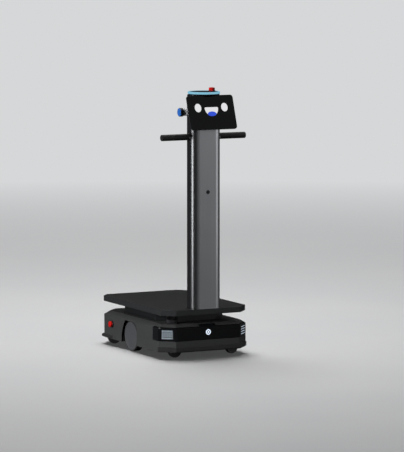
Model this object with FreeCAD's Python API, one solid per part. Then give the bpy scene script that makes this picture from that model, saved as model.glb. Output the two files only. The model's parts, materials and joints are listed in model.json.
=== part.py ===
"""Autonomous mobile robot: a low wheeled base, a load deck and an upright control column.

Millimetres, +Z up, front towards -Y.  The model is built about the middle of the base
and moved as a whole, so that the origin is on the floor under the middle of its box.
"""
import FreeCAD, Part
import math
import os

Vector = FreeCAD.Vector
X_AXIS = Vector(1, 0, 0)
Y_AXIS = Vector(0, 1, 0)
Z_AXIS = Vector(0, 0, 1)
LEFT = -1
RIGHT = 1

# ---- base body
body_width = 498.0
body_length = 772.0
body_chamfer = 68.0
body_corner_round = 7.0
body_bottom = 36.0
shoulder_height = 157.0
cover_height = 175.0
cover_inset = 30.0
shell_wall = 3.0
panel_seam = 0.6
panel_wrap = 20.0
window_bottom = 93.0
window_top = 162.0
window_side_reach = 42.0
camera_width = 92.0
camera_margin = 5.0

# ---- bumpers
front_bumper_proud = 4.0
front_bumper_bottom = 38.0
front_bumper_top = 63.0
rear_bumper_proud = 12.0
rear_bumper_bottom = 40.0
rear_bumper_top = 54.0
rear_bumper_reach = 103.0
bumper_bevel = 3.0

# ---- lights in the front window
led_columns = 5
led_rows = 4
led_pitch = 12.2
led_size = 4.5
led_proud = 0.5
led_margin = 8.0
led_height = 126.5
status_light_radius = 17.0
status_light_height = 132.0
insert_gap = 0.4

# ---- drive wheels
wheel_radius = 78.0
wheel_width = 40.0
wheel_y = 8.0
wheel_recess = 5.0
tyre_thickness = 5.5
tyre_round = 4.0
hub_face = 6.0
hub_dish = 1.5
hub_boss_radius = 24.0
hub_screw_count = 6
hub_screw_circle = 68.0
hub_screw_radius = 2.2
hub_screw_depth = 2.0
axle_radius = 8.0
axle_engagement = 28.0
shaft_clearance = 0.1
arch_front_overlap = 1.0
arch_front_round = 40.0
arch_top = 153.0
arch_rear_radius = 150.0
arch_rear_y = -39.0
arch_rear_z = 44.0

# ---- chassis
chassis_bottom = 96.0
chassis_thickness = 5.0
chassis_gap = 0.4
wheel_well_gap = 7.0
wheel_well_margin = 2.0
tray_thickness = 3.0
tray_spine_width = 210.0
tray_wall_thickness = 2.6
tray_axle_gap = 2.5

# ---- drive motors
gearbox_radius = 30.0
gearbox_length = 46.0
gearbox_standoff = 10.0
motor_radius = 24.0
motor_length = 86.0
motor_ear_length = 12.0
motor_ear_thickness = 6.0
motor_slot_gap = 3.0

# ---- casters
caster_front_side = 86.0
caster_rear_side = 69.0
caster_front_inset = 94.0
caster_rear_inset = 86.0
caster_wheel_radius = 35.0
caster_wheel_width = 24.0
caster_trail = 18.0
caster_side_gap = 1.5
caster_arm_thickness = 3.0
caster_axle_radius = 4.0
caster_head_radius = 7.0
caster_head_height = 3.0
caster_crown_radius = 22.0
caster_crown_thickness = 4.0
caster_crown_top = 82.0
caster_kingpin_radius = 6.0
caster_race_radius = 20.0
caster_running_gap = 0.4
caster_plate_length = 90.0
caster_plate_width = 70.0
caster_plate_thickness = 4.0
caster_sweep_gap = 8.0
caster_yaw = {"front_left": -96.0, "front_right": -84.0, "rear_left": 84.0, "rear_right": 97.0}

# ---- inside the base
battery_length = 240.0
battery_width = 300.0
battery_height = 58.0
battery_y = 170.0
controller_length = 190.0
controller_width = 260.0
controller_height = 24.0
controller_fin_height = 16.0
controller_fin_count = 9
controller_fin_thickness = 4.0
controller_y = -150.0

# ---- charging contacts on the rear
contact_block_width = 120.0
contact_block_height = 34.0
contact_z = 98.0
contact_strip_width = 34.0
contact_strip_height = 16.0
contact_proud = 2.5

# ---- pedestal between the base and the deck
pedestal_half_width = 192.0
pedestal_front_y = -255.0
pedestal_rear_y = 192.0
pedestal_chamfer = 85.0
pedestal_rear_chamfer = 6.0
pedestal_wall = 4.0
pedestal_lip = 6.0
pedestal_lip_height = 4.0

# ---- scanners
scanner_x = 170.0
scanner_inset = 82.0
scanner_flange_radius = 34.0
scanner_flange_height = 5.0
scanner_body_radius = 24.0
scanner_neck_radius = 20.0
scanner_window_radius = 22.5
scanner_top_gap = 2.0
scanner_window_height = 14.0
scanner_cap_height = 9.0

# ---- load deck
deck_bottom = 222.0
deck_top = 250.0
deck_half_width = 241.0
deck_front_overhang = 1.0
deck_rear_inset = 6.0
deck_chamfer = 60.0
deck_rear_chamfer = 40.0
deck_corner_round = 5.0
deck_wall = 2.5
deck_mat_thickness = 5.0
deck_mat_margin = 4.0
deck_mat_bevel = 1.5

# ---- column
column_half_width = 80.0
column_setback = 4.0
column_split_depth = 38.0
column_depth = 83.0
column_top = 1316.0
column_front_round = 36.0
column_rear_round = 8.0
column_wall = 3.5
column_lip = 9.0
column_boss_radius = 7.0
column_foot_height = 90.0
column_foot_gap = 0.5
column_foot_wall = 6.0

# ---- power button on the column
power_button_drop = 475.0
power_bezel_radius = 10.0
power_bezel_flange = 1.5
power_button_radius = 7.0
power_button_travel = 2.0
power_button_depth = 8.0
button_side_gap = 0.4

# ---- handlebar
handle_depth = 53.0
handle_drop = 198.0
handle_tube_radius = 12.5
handle_half_length = 236.0
handle_tube_wall = 2.0
grip_radius = 16.0
grip_end = 8.0
grip_round = 3.0
collar_radius = 18.5
collar_length = 9.0

# ---- display
display_width = 259.0
display_height = 177.0
display_tilt = 19.0
display_reach = 71.0
display_head_gap = 1.3
display_round = 14.0
display_glass = 3.0
display_depth = 15.0
display_back_inset = 12.0
display_rim = 1.2
bracket_half_width = 42.0
bracket_height = 96.0
bracket_drop = 20.0

# ---- lamp ring and head on top of the column
head_depth = 47.0
head_radius = 81.5
head_floor_drop = 1.0
head_neck_height = 14.5
head_shelf_thickness = 4.0
ring_height = 11.0
ring_wall = 7.0
ring_round = 3.0
head_top_inset = 1.0
head_top_rise = 0.8

# ---- emergency stops
stop_radius = 15.3
top_stop_height = 17.0
side_stop_height = 12.5
stop_edge_round = 4.0
stop_travel = 4.5
stop_stem_radius = 7.0
stop_stem_gap = 0.4
stop_cup_gap = 0.7
stop_cup_wall = 2.8
stop_floor = 3.0
top_stop_x = 44.0
top_stop_depth = 45.0
top_stop_lip = 3.0
side_stop_inset = 164.0
side_stop_z = 114.0
side_stop_proud = 5.5

# ---- call button on the left of the column
call_depth = 49.0
call_drop = 72.0
call_collar_radius = 18.5
call_collar_length = 40.0
call_groove_depth = 1.5
call_groove_width = 3.0
call_ring_radius = 21.8
call_ring_length = 17.0
call_cap_radius = 20.2
call_cap_height = 2.0
call_cap_round = 1.5
call_travel = 3.0
call_cap_seat = 4.0

# ---- worked out from the sizes above
half_width = body_width / 2
half_length = body_length / 2
bevel_slope = (cover_height - shoulder_height) / cover_inset
bevel_drop = shell_wall * math.sqrt(1 + bevel_slope ** 2)
deck_front_y = -half_length - deck_front_overhang
deck_rear_y = half_length - deck_rear_inset
column_front_y = deck_front_y + column_setback
column_split_y = column_front_y + column_split_depth
column_rear_y = column_front_y + column_depth
handle_y = column_front_y + handle_depth
head_y = column_front_y + head_depth
top_stop_y = column_front_y + top_stop_depth
call_y = column_front_y + call_depth
display_front_y = column_front_y - display_reach
rear_reach = half_length + rear_bumper_proud
front_reach = -display_front_y
origin_shift = Vector(0, (front_reach - rear_reach) / 2, 0)
fascia_rear_y = -half_length + body_chamfer + panel_wrap
window_rear_y = fascia_rear_y + window_side_reach
rear_split_y = half_length - body_chamfer - panel_wrap
wheel_outer_x = half_width - wheel_recess
wheel_inner_x = wheel_outer_x - wheel_width
wheel_z = wheel_radius
chassis_top = chassis_bottom + chassis_thickness
gearbox_outer_x = wheel_inner_x - gearbox_standoff
gearbox_inner_x = gearbox_outer_x - gearbox_length
motor_inner_x = gearbox_inner_x - motor_length
wheel_well_rear = arch_rear_y + arch_rear_radius + wheel_well_margin
caster_front_x = half_width - caster_front_side
caster_rear_x = half_width - caster_rear_side
caster_front_y = caster_front_inset - half_length
caster_rear_y = half_length - caster_rear_inset
scanner_y = half_length - scanner_inset
side_stop_y = half_length - side_stop_inset
caster_axle_z = caster_wheel_radius
caster_sweep = caster_trail + caster_wheel_radius + caster_sweep_gap
column_front_flat = column_half_width - column_front_round
shelf_bottom = column_top + head_neck_height
ring_bottom = shelf_bottom + head_shelf_thickness
ring_top = ring_bottom + ring_height
power_button_z = column_top - power_button_drop
handle_z = column_top - handle_drop
call_z = column_top - call_drop
display_slope = math.radians(display_tilt)
display_bottom_z = shelf_bottom - display_head_gap - display_height * math.cos(display_slope)
reach = 3000.0

if not os.path.isdir("parts"):
    os.makedirs("parts", exist_ok=True)


# ---------------------------------------------------------------- helpers
def box(x0, x1, y0, y1, z0, z1):
    """Block between two corners."""
    return Part.makeBox(x1 - x0, y1 - y0, z1 - z0, Vector(x0, y0, z0))


def block_front_of(y, z0, z1):
    """Everything in front of y, between two heights."""
    return box(-reach, reach, -reach, y, z0, z1)


def block_behind(y, z0, z1):
    """Everything behind y, between two heights."""
    return box(-reach, reach, y, reach, z0, z1)


def cylinder(radius, length, start, axis):
    return Part.makeCylinder(radius, length, start, axis)


def tube(outer, inner, length, start, axis):
    return cylinder(outer, length, start, axis).cut(cylinder(inner, length, start, axis))


def round_polygon(points, radii, z):
    """Closed wire through the points, each corner rounded by its own radius."""
    count = len(points)
    corners = []
    for i in range(count):
        here = Vector(points[i][0], points[i][1], z)
        before = Vector(points[i - 1][0], points[i - 1][1], z)
        after = Vector(points[(i + 1) % count][0], points[(i + 1) % count][1], z)
        back = (before - here).normalize()
        ahead = (after - here).normalize()
        half = back.getAngle(ahead) / 2
        setback = radii[i] / math.tan(half)
        middle = (back + ahead).normalize() * (radii[i] / math.sin(half) - radii[i])
        corners.append((here + back * setback, here + middle, here + ahead * setback))
    edges = []
    for i in range(count):
        start, middle, end = corners[i]
        edges.append(Part.Arc(start, middle, end).toShape())
        edges.append(Part.LineSegment(end, corners[(i + 1) % count][0]).toShape())
    return Part.Wire(edges)


def chamfered_plan(half_x, front_y, rear_y, front_chamfer, rear_chamfer, corner_round, z):
    """Outline of a rectangle with its four corners cut at 45 degrees."""
    points = [
        (half_x - front_chamfer, front_y),
        (half_x, front_y + front_chamfer),
        (half_x, rear_y - rear_chamfer),
        (half_x - rear_chamfer, rear_y),
        (rear_chamfer - half_x, rear_y),
        (-half_x, rear_y - rear_chamfer),
        (-half_x, front_y + front_chamfer),
        (front_chamfer - half_x, front_y),
    ]
    return round_polygon(points, [corner_round] * len(points), z)


def chamfer_after(chamfer, inset):
    """Corner cut of an outline that is moved inwards on all sides."""
    return chamfer - inset * (2 - math.sqrt(2))


def prism(wire, height):
    return Part.Face(wire).extrude(Vector(0, 0, height))


def rounded_block(half_x, front_y, rear_y, z0, z1, radius, front_radius=None):
    """Upright block with its four upright edges rounded."""
    points = [(half_x, front_y), (half_x, rear_y), (-half_x, rear_y), (-half_x, front_y)]
    front = radius if front_radius is None else front_radius
    return prism(round_polygon(points, [front, radius, radius, front], z0), z1 - z0)


def turned(profile, start, axis):
    """Solid of revolution: profile pairs are (along the axis, radius) from the start point."""
    side = Y_AXIS if abs(axis.x) > 0.5 else X_AXIS
    points = [start + axis * along + side * radius for along, radius in profile]
    points.append(points[0])
    face = Part.Face(Part.makePolygon(points))
    return face.revolve(start, axis, 360)


def round_steps(along, radius, size, start_angle, count=3):
    """Profile points round a quarter circle of the given size about (along, radius)."""
    points = []
    for step in range(count + 1):
        angle = math.radians(start_angle - 90.0 * step / count)
        points.append((along + size * math.cos(angle), radius + size * math.sin(angle)))
    return points


def mirrored(shape):
    return shape.mirror(Vector(0, 0, 0), X_AXIS)


def on_side(shape, side):
    """A piece made for the right side, mirrored when it is wanted on the left."""
    return shape if side == RIGHT else mirrored(shape)


def edges_where(shape, test):
    return [edge for edge in shape.Edges if test(edge)]


def save(name, shape):
    """Move a piece into the part's own frame and write it."""
    placed = shape.copy()
    placed.translate(origin_shift)
    placed.exportStep("parts/" + name + ".step")


# ---------------------------------------------------------------- base body
def body_outline(inset, z):
    return chamfered_plan(
        half_width - inset,
        inset - half_length,
        half_length - inset,
        chamfer_after(body_chamfer, inset),
        chamfer_after(body_chamfer, inset),
        body_corner_round,
        z,
    )


def body_hull():
    """Outer form of the base: upright sides and a bevelled lid."""
    sides = prism(body_outline(0, body_bottom), shoulder_height - body_bottom)
    lid = Part.makeLoft([body_outline(0, shoulder_height), body_outline(cover_inset, cover_height)], True, True)
    return sides.fuse(lid).removeSplitter()


def body_cavity():
    """The hollow inside the walls, open at the bottom."""
    ledge = shoulder_height + bevel_slope * shell_wall - bevel_drop
    ceiling = cover_height - shell_wall
    ceiling_inset = (ceiling - shoulder_height + bevel_drop) / bevel_slope
    sides = prism(body_outline(shell_wall, body_bottom - 1), ledge - body_bottom + 1)
    lid = Part.makeLoft([body_outline(shell_wall, ledge), body_outline(ceiling_inset, ceiling)], True, True)
    return sides.fuse(lid).removeSplitter()


def body_shell():
    return body_hull().cut(body_cavity())


def wheel_arch():
    """Cut for both wheels: upright and rounded in front, a wide curve behind."""
    front = wheel_y - wheel_radius + arch_front_overlap
    opening = block_behind(front, body_bottom - 1, arch_top)

    def front_top(edge):
        ends = edge.BoundBox
        return ends.YMax < front + 0.01 and ends.ZMin > arch_top - 0.01

    opening = opening.makeFillet(arch_front_round, edges_where(opening, front_top))
    sweep = cylinder(arch_rear_radius, 2 * reach, Vector(-reach, arch_rear_y, arch_rear_z), X_AXIS)
    return opening.common(sweep)


def side_stop_bore():
    radius = stop_radius + stop_cup_gap + stop_cup_wall
    return cylinder(radius, 2 * reach, Vector(-reach, side_stop_y, side_stop_z), X_AXIS)


def window_region(gap):
    return block_front_of(window_rear_y + gap, window_bottom - gap, window_top + gap)


def side_panel(shell, side):
    front = fascia_rear_y + panel_seam
    rear = rear_split_y - panel_seam
    region = box(0, reach, front, rear, body_bottom, shoulder_height - panel_seam)
    panel = shell.common(region).cut(wheel_arch()).cut(side_stop_bore()).cut(window_region(panel_seam))
    return on_side(panel, side)


def rear_panel(shell):
    region = block_behind(rear_split_y, body_bottom, shoulder_height - panel_seam)
    return shell.common(region).cut(contact_block(insert_gap))


def camera_region(gap):
    front = -half_length + camera_margin - gap
    rear = -half_length + cover_inset - camera_margin + gap
    half = camera_width / 2 + gap
    return box(-half, half, front, rear, window_top, reach)


def top_cover(shell):
    region = box(-reach, reach, -reach, reach, shoulder_height, reach)
    return shell.common(region).cut(window_region(panel_seam)).cut(camera_region(insert_gap))


def front_camera(shell):
    return shell.common(camera_region(0))


def front_fascia(shell):
    return shell.common(block_front_of(fascia_rear_y, body_bottom, window_bottom - panel_seam))


def led_plate_size(count):
    return (count - 1) * led_pitch + led_size + led_margin


def on_chamfer(shape, side):
    """Turn a piece made facing the front so that it lies on a front chamfer."""
    turned_piece = shape.copy()
    turned_piece.rotate(Vector(0, 0, 0), Z_AXIS, 45)
    middle = Vector(half_width - body_chamfer / 2, -half_length + body_chamfer / 2, led_height)
    turned_piece.translate(middle)
    return on_side(turned_piece, side)


def led_pocket(side):
    half = led_plate_size(led_columns) / 2 + insert_gap
    tall = led_plate_size(led_rows) / 2 + insert_gap
    return on_chamfer(box(-half, half, -shell_wall, 2 * shell_wall, -tall, tall), side)


def led_matrix(side):
    """Carrier plate set flush in the window, with raised square lenses."""
    half = led_plate_size(led_columns) / 2
    tall = led_plate_size(led_rows) / 2
    plate = box(-half, half, 0, shell_wall, -tall, tall)
    lens_half = led_size / 2
    lenses = []
    for column in range(led_columns):
        for row in range(led_rows):
            x = (column - (led_columns - 1) / 2) * led_pitch
            z = (row - (led_rows - 1) / 2) * led_pitch
            lens = box(x - lens_half, x + lens_half, -led_proud, 0, z - lens_half, z + lens_half)
            lenses.append(lens)
    return on_chamfer(plate.multiFuse(lenses), side)


def front_window(shell):
    """Dark window strip across the front and both front chamfers, and a little way along each side."""
    bore = cylinder(
        status_light_radius + insert_gap,
        3 * shell_wall,
        Vector(0, -half_length - shell_wall, status_light_height),
        Y_AXIS,
    )
    strip = shell.common(window_region(0)).cut(bore)
    return strip.cut(led_pocket(LEFT)).cut(led_pocket(RIGHT))


def status_light():
    """Round lens with a stepped rim."""
    profile = [
        (0, 0),
        (0, status_light_radius - 3),
        (-0.8, status_light_radius - 2),
        (-0.8, status_light_radius),
        (shell_wall, status_light_radius),
        (shell_wall, 0),
    ]
    return turned(profile, Vector(0, -half_length, status_light_height), Y_AXIS)


def bumper_strip(proud, z0, z1):
    """Band that stands out from the sides all round, bevelled along its outer edges."""
    outer = prism(body_outline(-proud, z0), z1 - z0)
    upright = edges_where(outer, lambda edge: edge.BoundBox.ZLength < 0.01)
    outer = outer.makeChamfer(bumper_bevel, upright)
    return outer.cut(prism(body_outline(0, z0), z1 - z0))


def front_bumper():
    strip = bumper_strip(front_bumper_proud, front_bumper_bottom, front_bumper_top)
    return strip.common(block_front_of(-half_length + body_chamfer, 0, reach))


def rear_bumper():
    """Strip round the rear with its two ends sloped off on the sides."""
    strip = bumper_strip(rear_bumper_proud, rear_bumper_bottom, rear_bumper_top)
    end_y = half_length - body_chamfer - rear_bumper_reach
    strip = strip.common(block_behind(end_y, 0, reach))
    outside = half_width + rear_bumper_proud + 1
    points = [
        Vector(half_width + 1, end_y - 1, 0),
        Vector(outside, end_y - 1, 0),
        Vector(outside, end_y + rear_bumper_proud, 0),
        Vector(half_width + 1, end_y, 0),
    ]
    points.append(points[0])
    slope = Part.Face(Part.makePolygon(points)).extrude(Vector(0, 0, reach))
    return strip.cut(slope).cut(mirrored(slope))


# ---------------------------------------------------------------- chassis
def wheel_well():
    """Room for both wheels, cut from the chassis and the tray."""
    inner = wheel_inner_x - wheel_well_gap
    front = wheel_y - wheel_radius - wheel_well_gap
    right = box(inner, reach, front, wheel_well_rear, 0, reach)
    return [right, mirrored(right)]


def motor_slots():
    half = gearbox_radius + motor_slot_gap
    inner = motor_inner_x - motor_slot_gap
    slot = box(inner, wheel_inner_x, wheel_y - half, wheel_y + half, 0, reach)
    return [slot, mirrored(slot)]


def caster_places():
    return {
        "front_left": Vector(-caster_front_x, caster_front_y, 0),
        "front_right": Vector(caster_front_x, caster_front_y, 0),
        "rear_left": Vector(-caster_rear_x, caster_rear_y, 0),
        "rear_right": Vector(caster_rear_x, caster_rear_y, 0),
    }


def chassis_plate():
    """Steel plate that carries the casters below and the electronics above."""
    inset = shell_wall + chassis_gap
    plate = prism(body_outline(inset, chassis_bottom), chassis_thickness)
    plate = plate.cut(Part.makeCompound(wheel_well() + motor_slots() + [contact_block(insert_gap)]))
    hole = caster_kingpin_radius + 2
    bores = []
    for place in caster_places().values():
        bores.append(cylinder(hole, reach, place, Z_AXIS))
    return plate.cut(Part.makeCompound(bores))


def tray_walls():
    """Walls inside and behind the wheel that hang the tray from the chassis plate."""
    inner = wheel_inner_x - wheel_well_gap
    outer = half_width - shell_wall - chassis_gap
    front = wheel_y - wheel_radius - wheel_well_gap
    low = body_bottom + tray_thickness
    hole = cylinder(axle_radius + tray_axle_gap, reach, Vector(0, wheel_y, wheel_z), X_AXIS)
    beside = box(inner - tray_wall_thickness, inner, front, wheel_well_rear, low, chassis_bottom).cut(hole)
    rear_face = wheel_well_rear + tray_wall_thickness
    behind = box(inner - tray_wall_thickness, outer, wheel_well_rear, rear_face, low, chassis_bottom)
    return [beside, behind, mirrored(beside), mirrored(behind)]


def bottom_tray():
    """Underside cover: a spine and two arms that leave the casters and wheels free."""
    bottom = body_bottom
    top = body_bottom + tray_thickness
    inset = shell_wall + chassis_gap
    spine_half = tray_spine_width / 2
    arm_half = half_width - inset
    well_front = wheel_y - wheel_radius - wheel_well_gap
    well_inner = wheel_inner_x - wheel_well_gap
    pieces = [
        box(-arm_half, arm_half, caster_front_y + caster_sweep, well_front, bottom, top),
        box(-arm_half, arm_half, wheel_well_rear, caster_rear_y - caster_sweep, bottom, top),
        box(-well_inner, well_inner, well_front, wheel_well_rear, bottom, top),
    ]
    spine = box(-spine_half, spine_half, inset - half_length, half_length - inset, bottom, top)
    return spine.multiFuse(pieces + tray_walls()).removeSplitter()


# ---------------------------------------------------------------- drive wheels
def drive_tyre(side):
    """Rubber band with rounded shoulders."""
    tread = wheel_radius - tyre_round
    profile = [(0, wheel_radius - tyre_thickness)]
    profile.extend(round_steps(tyre_round, tread, tyre_round, 180))
    profile.extend(round_steps(wheel_width - tyre_round, tread, tyre_round, 90))
    profile.append((wheel_width, wheel_radius - tyre_thickness))
    return on_side(turned(profile, Vector(wheel_inner_x, wheel_y, wheel_z), X_AXIS), side)


def drive_hub(side):
    """Dished disc with a rim, a boss and the stub of its axle."""
    rim = wheel_radius - tyre_thickness
    rim_wall = 8.0
    start = Vector(wheel_outer_x, wheel_y, wheel_z)
    profile = [
        (-1.0, 0),
        (-1.0, hub_boss_radius - 4),
        (-hub_dish, hub_boss_radius),
        (-hub_dish, rim - rim_wall - 4),
        (0, rim - rim_wall),
        (0, rim - 1),
        (-1, rim),
        (-wheel_width, rim),
        (-wheel_width, rim - rim_wall),
        (-hub_face, rim - rim_wall),
        (-hub_face, hub_boss_radius),
        (-wheel_width, hub_boss_radius),
        (-wheel_width, axle_radius),
        (-wheel_width - gearbox_standoff - axle_engagement, axle_radius),
        (-wheel_width - gearbox_standoff - axle_engagement, 0),
    ]
    hub = turned(profile, start, X_AXIS)
    holes = []
    for i in range(hub_screw_count):
        angle = 2 * math.pi * (i + 0.5) / hub_screw_count
        y = wheel_y + hub_screw_circle * math.cos(angle)
        z = wheel_z + hub_screw_circle * math.sin(angle)
        holes.append(cylinder(hub_screw_radius, hub_screw_depth + 1, Vector(wheel_outer_x + 1, y, z), -X_AXIS))
    return on_side(hub.cut(Part.makeCompound(holes)), side)


def drive_motor(side):
    """Gearbox and motor with two ears that bolt up under the chassis plate."""
    axis_end = Vector(gearbox_inner_x, wheel_y, wheel_z)
    gearbox = cylinder(gearbox_radius, gearbox_length, axis_end, X_AXIS)
    motor = cylinder(motor_radius, motor_length, Vector(motor_inner_x, wheel_y, wheel_z), X_AXIS)
    cap = cylinder(motor_radius + 2, 10, Vector(motor_inner_x, wheel_y, wheel_z), X_AXIS)
    ear_y = gearbox_radius + motor_slot_gap + 1
    ear_bottom = wheel_z - gearbox_radius / 2
    pieces = [motor, cap]
    for sign in (-1, 1):
        near = wheel_y + sign * gearbox_radius * 0.6
        far = wheel_y + sign * (ear_y + motor_ear_length)
        low = min(near, far)
        high = max(near, far)
        flange_x = gearbox_outer_x - motor_ear_thickness
        pieces.append(box(flange_x, gearbox_outer_x, low, high, ear_bottom, chassis_bottom))
        ear_low = min(wheel_y + sign * ear_y, far)
        ear_high = max(wheel_y + sign * ear_y, far)
        ear_z = chassis_bottom - motor_ear_thickness
        pieces.append(box(gearbox_inner_x, gearbox_outer_x, ear_low, ear_high, ear_z, chassis_bottom))
    solid = gearbox.multiFuse(pieces)
    slot_half = gearbox_radius + motor_slot_gap
    above = box(gearbox_inner_x, gearbox_outer_x, wheel_y - slot_half, wheel_y + slot_half, chassis_bottom, reach)
    solid = solid.fuse(gearbox.common(above)).removeSplitter()
    bore = cylinder(
        axle_radius + shaft_clearance,
        axle_engagement + 2,
        Vector(gearbox_outer_x, wheel_y, wheel_z),
        -X_AXIS,
    )
    return on_side(solid.cut(bore), side)


# ---------------------------------------------------------------- casters
def at_caster(shape, corner):
    """Turn a caster piece to its rest direction and put it at its corner."""
    placed = shape.copy()
    placed.rotate(Vector(0, 0, 0), Z_AXIS, caster_yaw[corner])
    placed.translate(caster_places()[corner])
    return placed


def caster_plate(corner):
    half_x = caster_plate_width / 2
    half_y = caster_plate_length / 2
    bottom = chassis_bottom - caster_plate_thickness
    plate = rounded_block(half_x, -half_y, half_y, bottom, chassis_bottom, 6.0)
    race_bottom = caster_crown_top + caster_running_gap
    race = cylinder(caster_race_radius, bottom - race_bottom, Vector(0, 0, race_bottom), Z_AXIS)
    bore = cylinder(caster_kingpin_radius + shaft_clearance, reach, Vector(0, 0, 0), Z_AXIS)
    plate = plate.fuse(race).cut(bore)
    plate.translate(caster_places()[corner])
    return plate


def caster_fork(corner):
    """Two slanting arms under a round crown, with the kingpin and the axle bolt."""
    inner = caster_wheel_width / 2 + caster_side_gap
    outer = inner + caster_arm_thickness
    crown_bottom = caster_crown_top - caster_crown_thickness
    arm_half = 9.0
    pieces = []
    for sign in (-1, 1):
        x = inner if sign > 0 else -outer
        points = [
            Vector(x, caster_trail - arm_half, caster_axle_z),
            Vector(x, caster_trail + arm_half, caster_axle_z),
            Vector(x, caster_trail, crown_bottom),
            Vector(x, caster_trail, caster_crown_top),
            Vector(x, -caster_trail / 2, caster_crown_top),
            Vector(x, -caster_trail / 2, crown_bottom),
        ]
        points.append(points[0])
        arm = Part.Face(Part.makePolygon(points)).extrude(Vector(caster_arm_thickness, 0, 0))
        eye = cylinder(arm_half, caster_arm_thickness, Vector(x, caster_trail, caster_axle_z), X_AXIS)
        pieces.extend([arm, eye])
    crown = cylinder(caster_crown_radius, caster_crown_thickness, Vector(0, 0, crown_bottom), Z_AXIS)
    pin_top = chassis_bottom + chassis_thickness / 2
    kingpin = cylinder(caster_kingpin_radius, pin_top - caster_crown_top, Vector(0, 0, caster_crown_top), Z_AXIS)
    fork = crown.multiFuse(pieces + [kingpin]).removeSplitter()
    head = outer + caster_head_height
    bolt = cylinder(caster_axle_radius, 2 * head, Vector(-head, caster_trail, caster_axle_z), X_AXIS)
    caps = []
    for x in (-head, outer):
        caps.append(cylinder(caster_head_radius, caster_head_height, Vector(x, caster_trail, caster_axle_z), X_AXIS))
    fork = fork.multiFuse([bolt] + caps).removeSplitter()
    return at_caster(fork, corner)


def caster_wheel(corner):
    """Solid wheel with a rounded tread and a raised hub."""
    half = caster_wheel_width / 2
    radius = caster_wheel_radius
    bore = caster_axle_radius + shaft_clearance
    hub = caster_head_radius + 3
    profile = [
        (-half, bore),
        (-half, hub),
        (-half + 3, hub + 2),
        (-half + 3, radius - 8),
        (-half + 1, radius - 3),
        (-half + 4, radius),
        (half - 4, radius),
        (half - 1, radius - 3),
        (half - 3, radius - 8),
        (half - 3, hub + 2),
        (half, hub),
        (half, bore),
    ]
    wheel = turned(profile, Vector(0, caster_trail, caster_axle_z), X_AXIS)
    return at_caster(wheel, corner)


# ---------------------------------------------------------------- inside the base
def battery_pack():
    half_x = battery_width / 2
    half_y = battery_length / 2
    case = rounded_block(half_x, battery_y - half_y, battery_y + half_y, chassis_top, chassis_top + battery_height, 10)
    handle_half = battery_width / 6
    grip = box(-handle_half, handle_half, battery_y + half_y - 26, battery_y + half_y - 8,
               chassis_top + battery_height - 14, reach)
    return case.cut(grip)


def drive_controller():
    """Flat case with a row of cooling fins."""
    half_x = controller_width / 2
    half_y = controller_length / 2
    top = chassis_top + controller_height
    case = rounded_block(half_x, controller_y - half_y, controller_y + half_y, chassis_top, top, 5)
    fins = []
    step = (controller_width - 40) / (controller_fin_count - 1)
    for i in range(controller_fin_count):
        x = -half_x + 20 + i * step
        half = controller_fin_thickness / 2
        fin_top = top + controller_fin_height
        fins.append(box(x - half, x + half, controller_y - half_y + 12, controller_y + half_y - 12, top, fin_top))
    return case.multiFuse(fins).removeSplitter()


def contact_block(gap):
    """Block that fills the slot in the rear panel, or with a gap the room for it."""
    half = contact_block_width / 2 + gap
    low = contact_z - contact_block_height / 2 - gap
    high = contact_z + contact_block_height / 2 + gap
    return box(-half, half, half_length - 2 * shell_wall - gap, half_length, low, high)


def charge_contacts():
    """Insulating block in the rear panel with two raised strips."""
    strips = []
    for sign in (-1, 1):
        middle = sign * contact_block_width / 4
        strip_half = contact_strip_width / 2
        z = contact_strip_height / 2
        strips.append(box(middle - strip_half, middle + strip_half, half_length, half_length + contact_proud,
                          contact_z - z, contact_z + z))
    return contact_block(0).multiFuse(strips)


# ---------------------------------------------------------------- pedestal, scanners, deck
def pedestal_outline(inset, z):
    return chamfered_plan(
        pedestal_half_width - inset,
        pedestal_front_y + inset,
        pedestal_rear_y - inset,
        chamfer_after(pedestal_chamfer, inset),
        chamfer_after(pedestal_rear_chamfer, inset),
        4.0,
        z,
    )


def pedestal():
    """Hollow riser between the base lid and the deck, with a foot lip."""
    height = deck_bottom - cover_height
    walls = prism(pedestal_outline(0, cover_height), height)
    lip = prism(pedestal_outline(-pedestal_lip, cover_height), pedestal_lip_height)
    hollow = prism(pedestal_outline(pedestal_wall, cover_height), height)
    return walls.fuse(lip).cut(hollow).removeSplitter()


def scanner_places():
    """One scanner at the front left and one at the rear right."""
    return [Vector(-scanner_x, -scanner_y, cover_height), Vector(scanner_x, scanner_y, cover_height)]


def scanner_levels():
    """Heights above the lid of the neck, the window and the cap."""
    top = deck_bottom - cover_height - scanner_top_gap
    cap_bottom = top - scanner_cap_height
    window_bottom_height = cap_bottom - scanner_window_height
    return window_bottom_height, cap_bottom, top


def scanner_bodies():
    """Flange and drum, and the cap that closes the window."""
    low, cap_bottom, top = scanner_levels()
    solids = []
    for place in scanner_places():
        flange = scanner_flange_height
        profile = [
            (0, 0),
            (0, scanner_flange_radius),
            (flange - 1, scanner_flange_radius),
            (flange, scanner_flange_radius - 1),
            (flange, scanner_body_radius),
            (low - 2, scanner_body_radius),
            (low, scanner_neck_radius),
            (low, 0),
        ]
        solids.append(turned(profile, place, Z_AXIS))
        cap = [
            (cap_bottom, 0),
            (cap_bottom, scanner_body_radius - 1),
            (cap_bottom + 1, scanner_body_radius),
            (top - 2, scanner_body_radius),
            (top, scanner_body_radius - 2),
            (top, 0),
        ]
        solids.append(turned(cap, place, Z_AXIS))
    return Part.makeCompound(solids)


def scanner_windows():
    low, cap_bottom, top = scanner_levels()
    solids = []
    for place in scanner_places():
        profile = [
            (low, 0),
            (low, scanner_neck_radius),
            (low + 2, scanner_window_radius),
            (cap_bottom, scanner_window_radius),
            (cap_bottom, 0),
        ]
        solids.append(turned(profile, place, Z_AXIS))
    return Part.makeCompound(solids)


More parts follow.
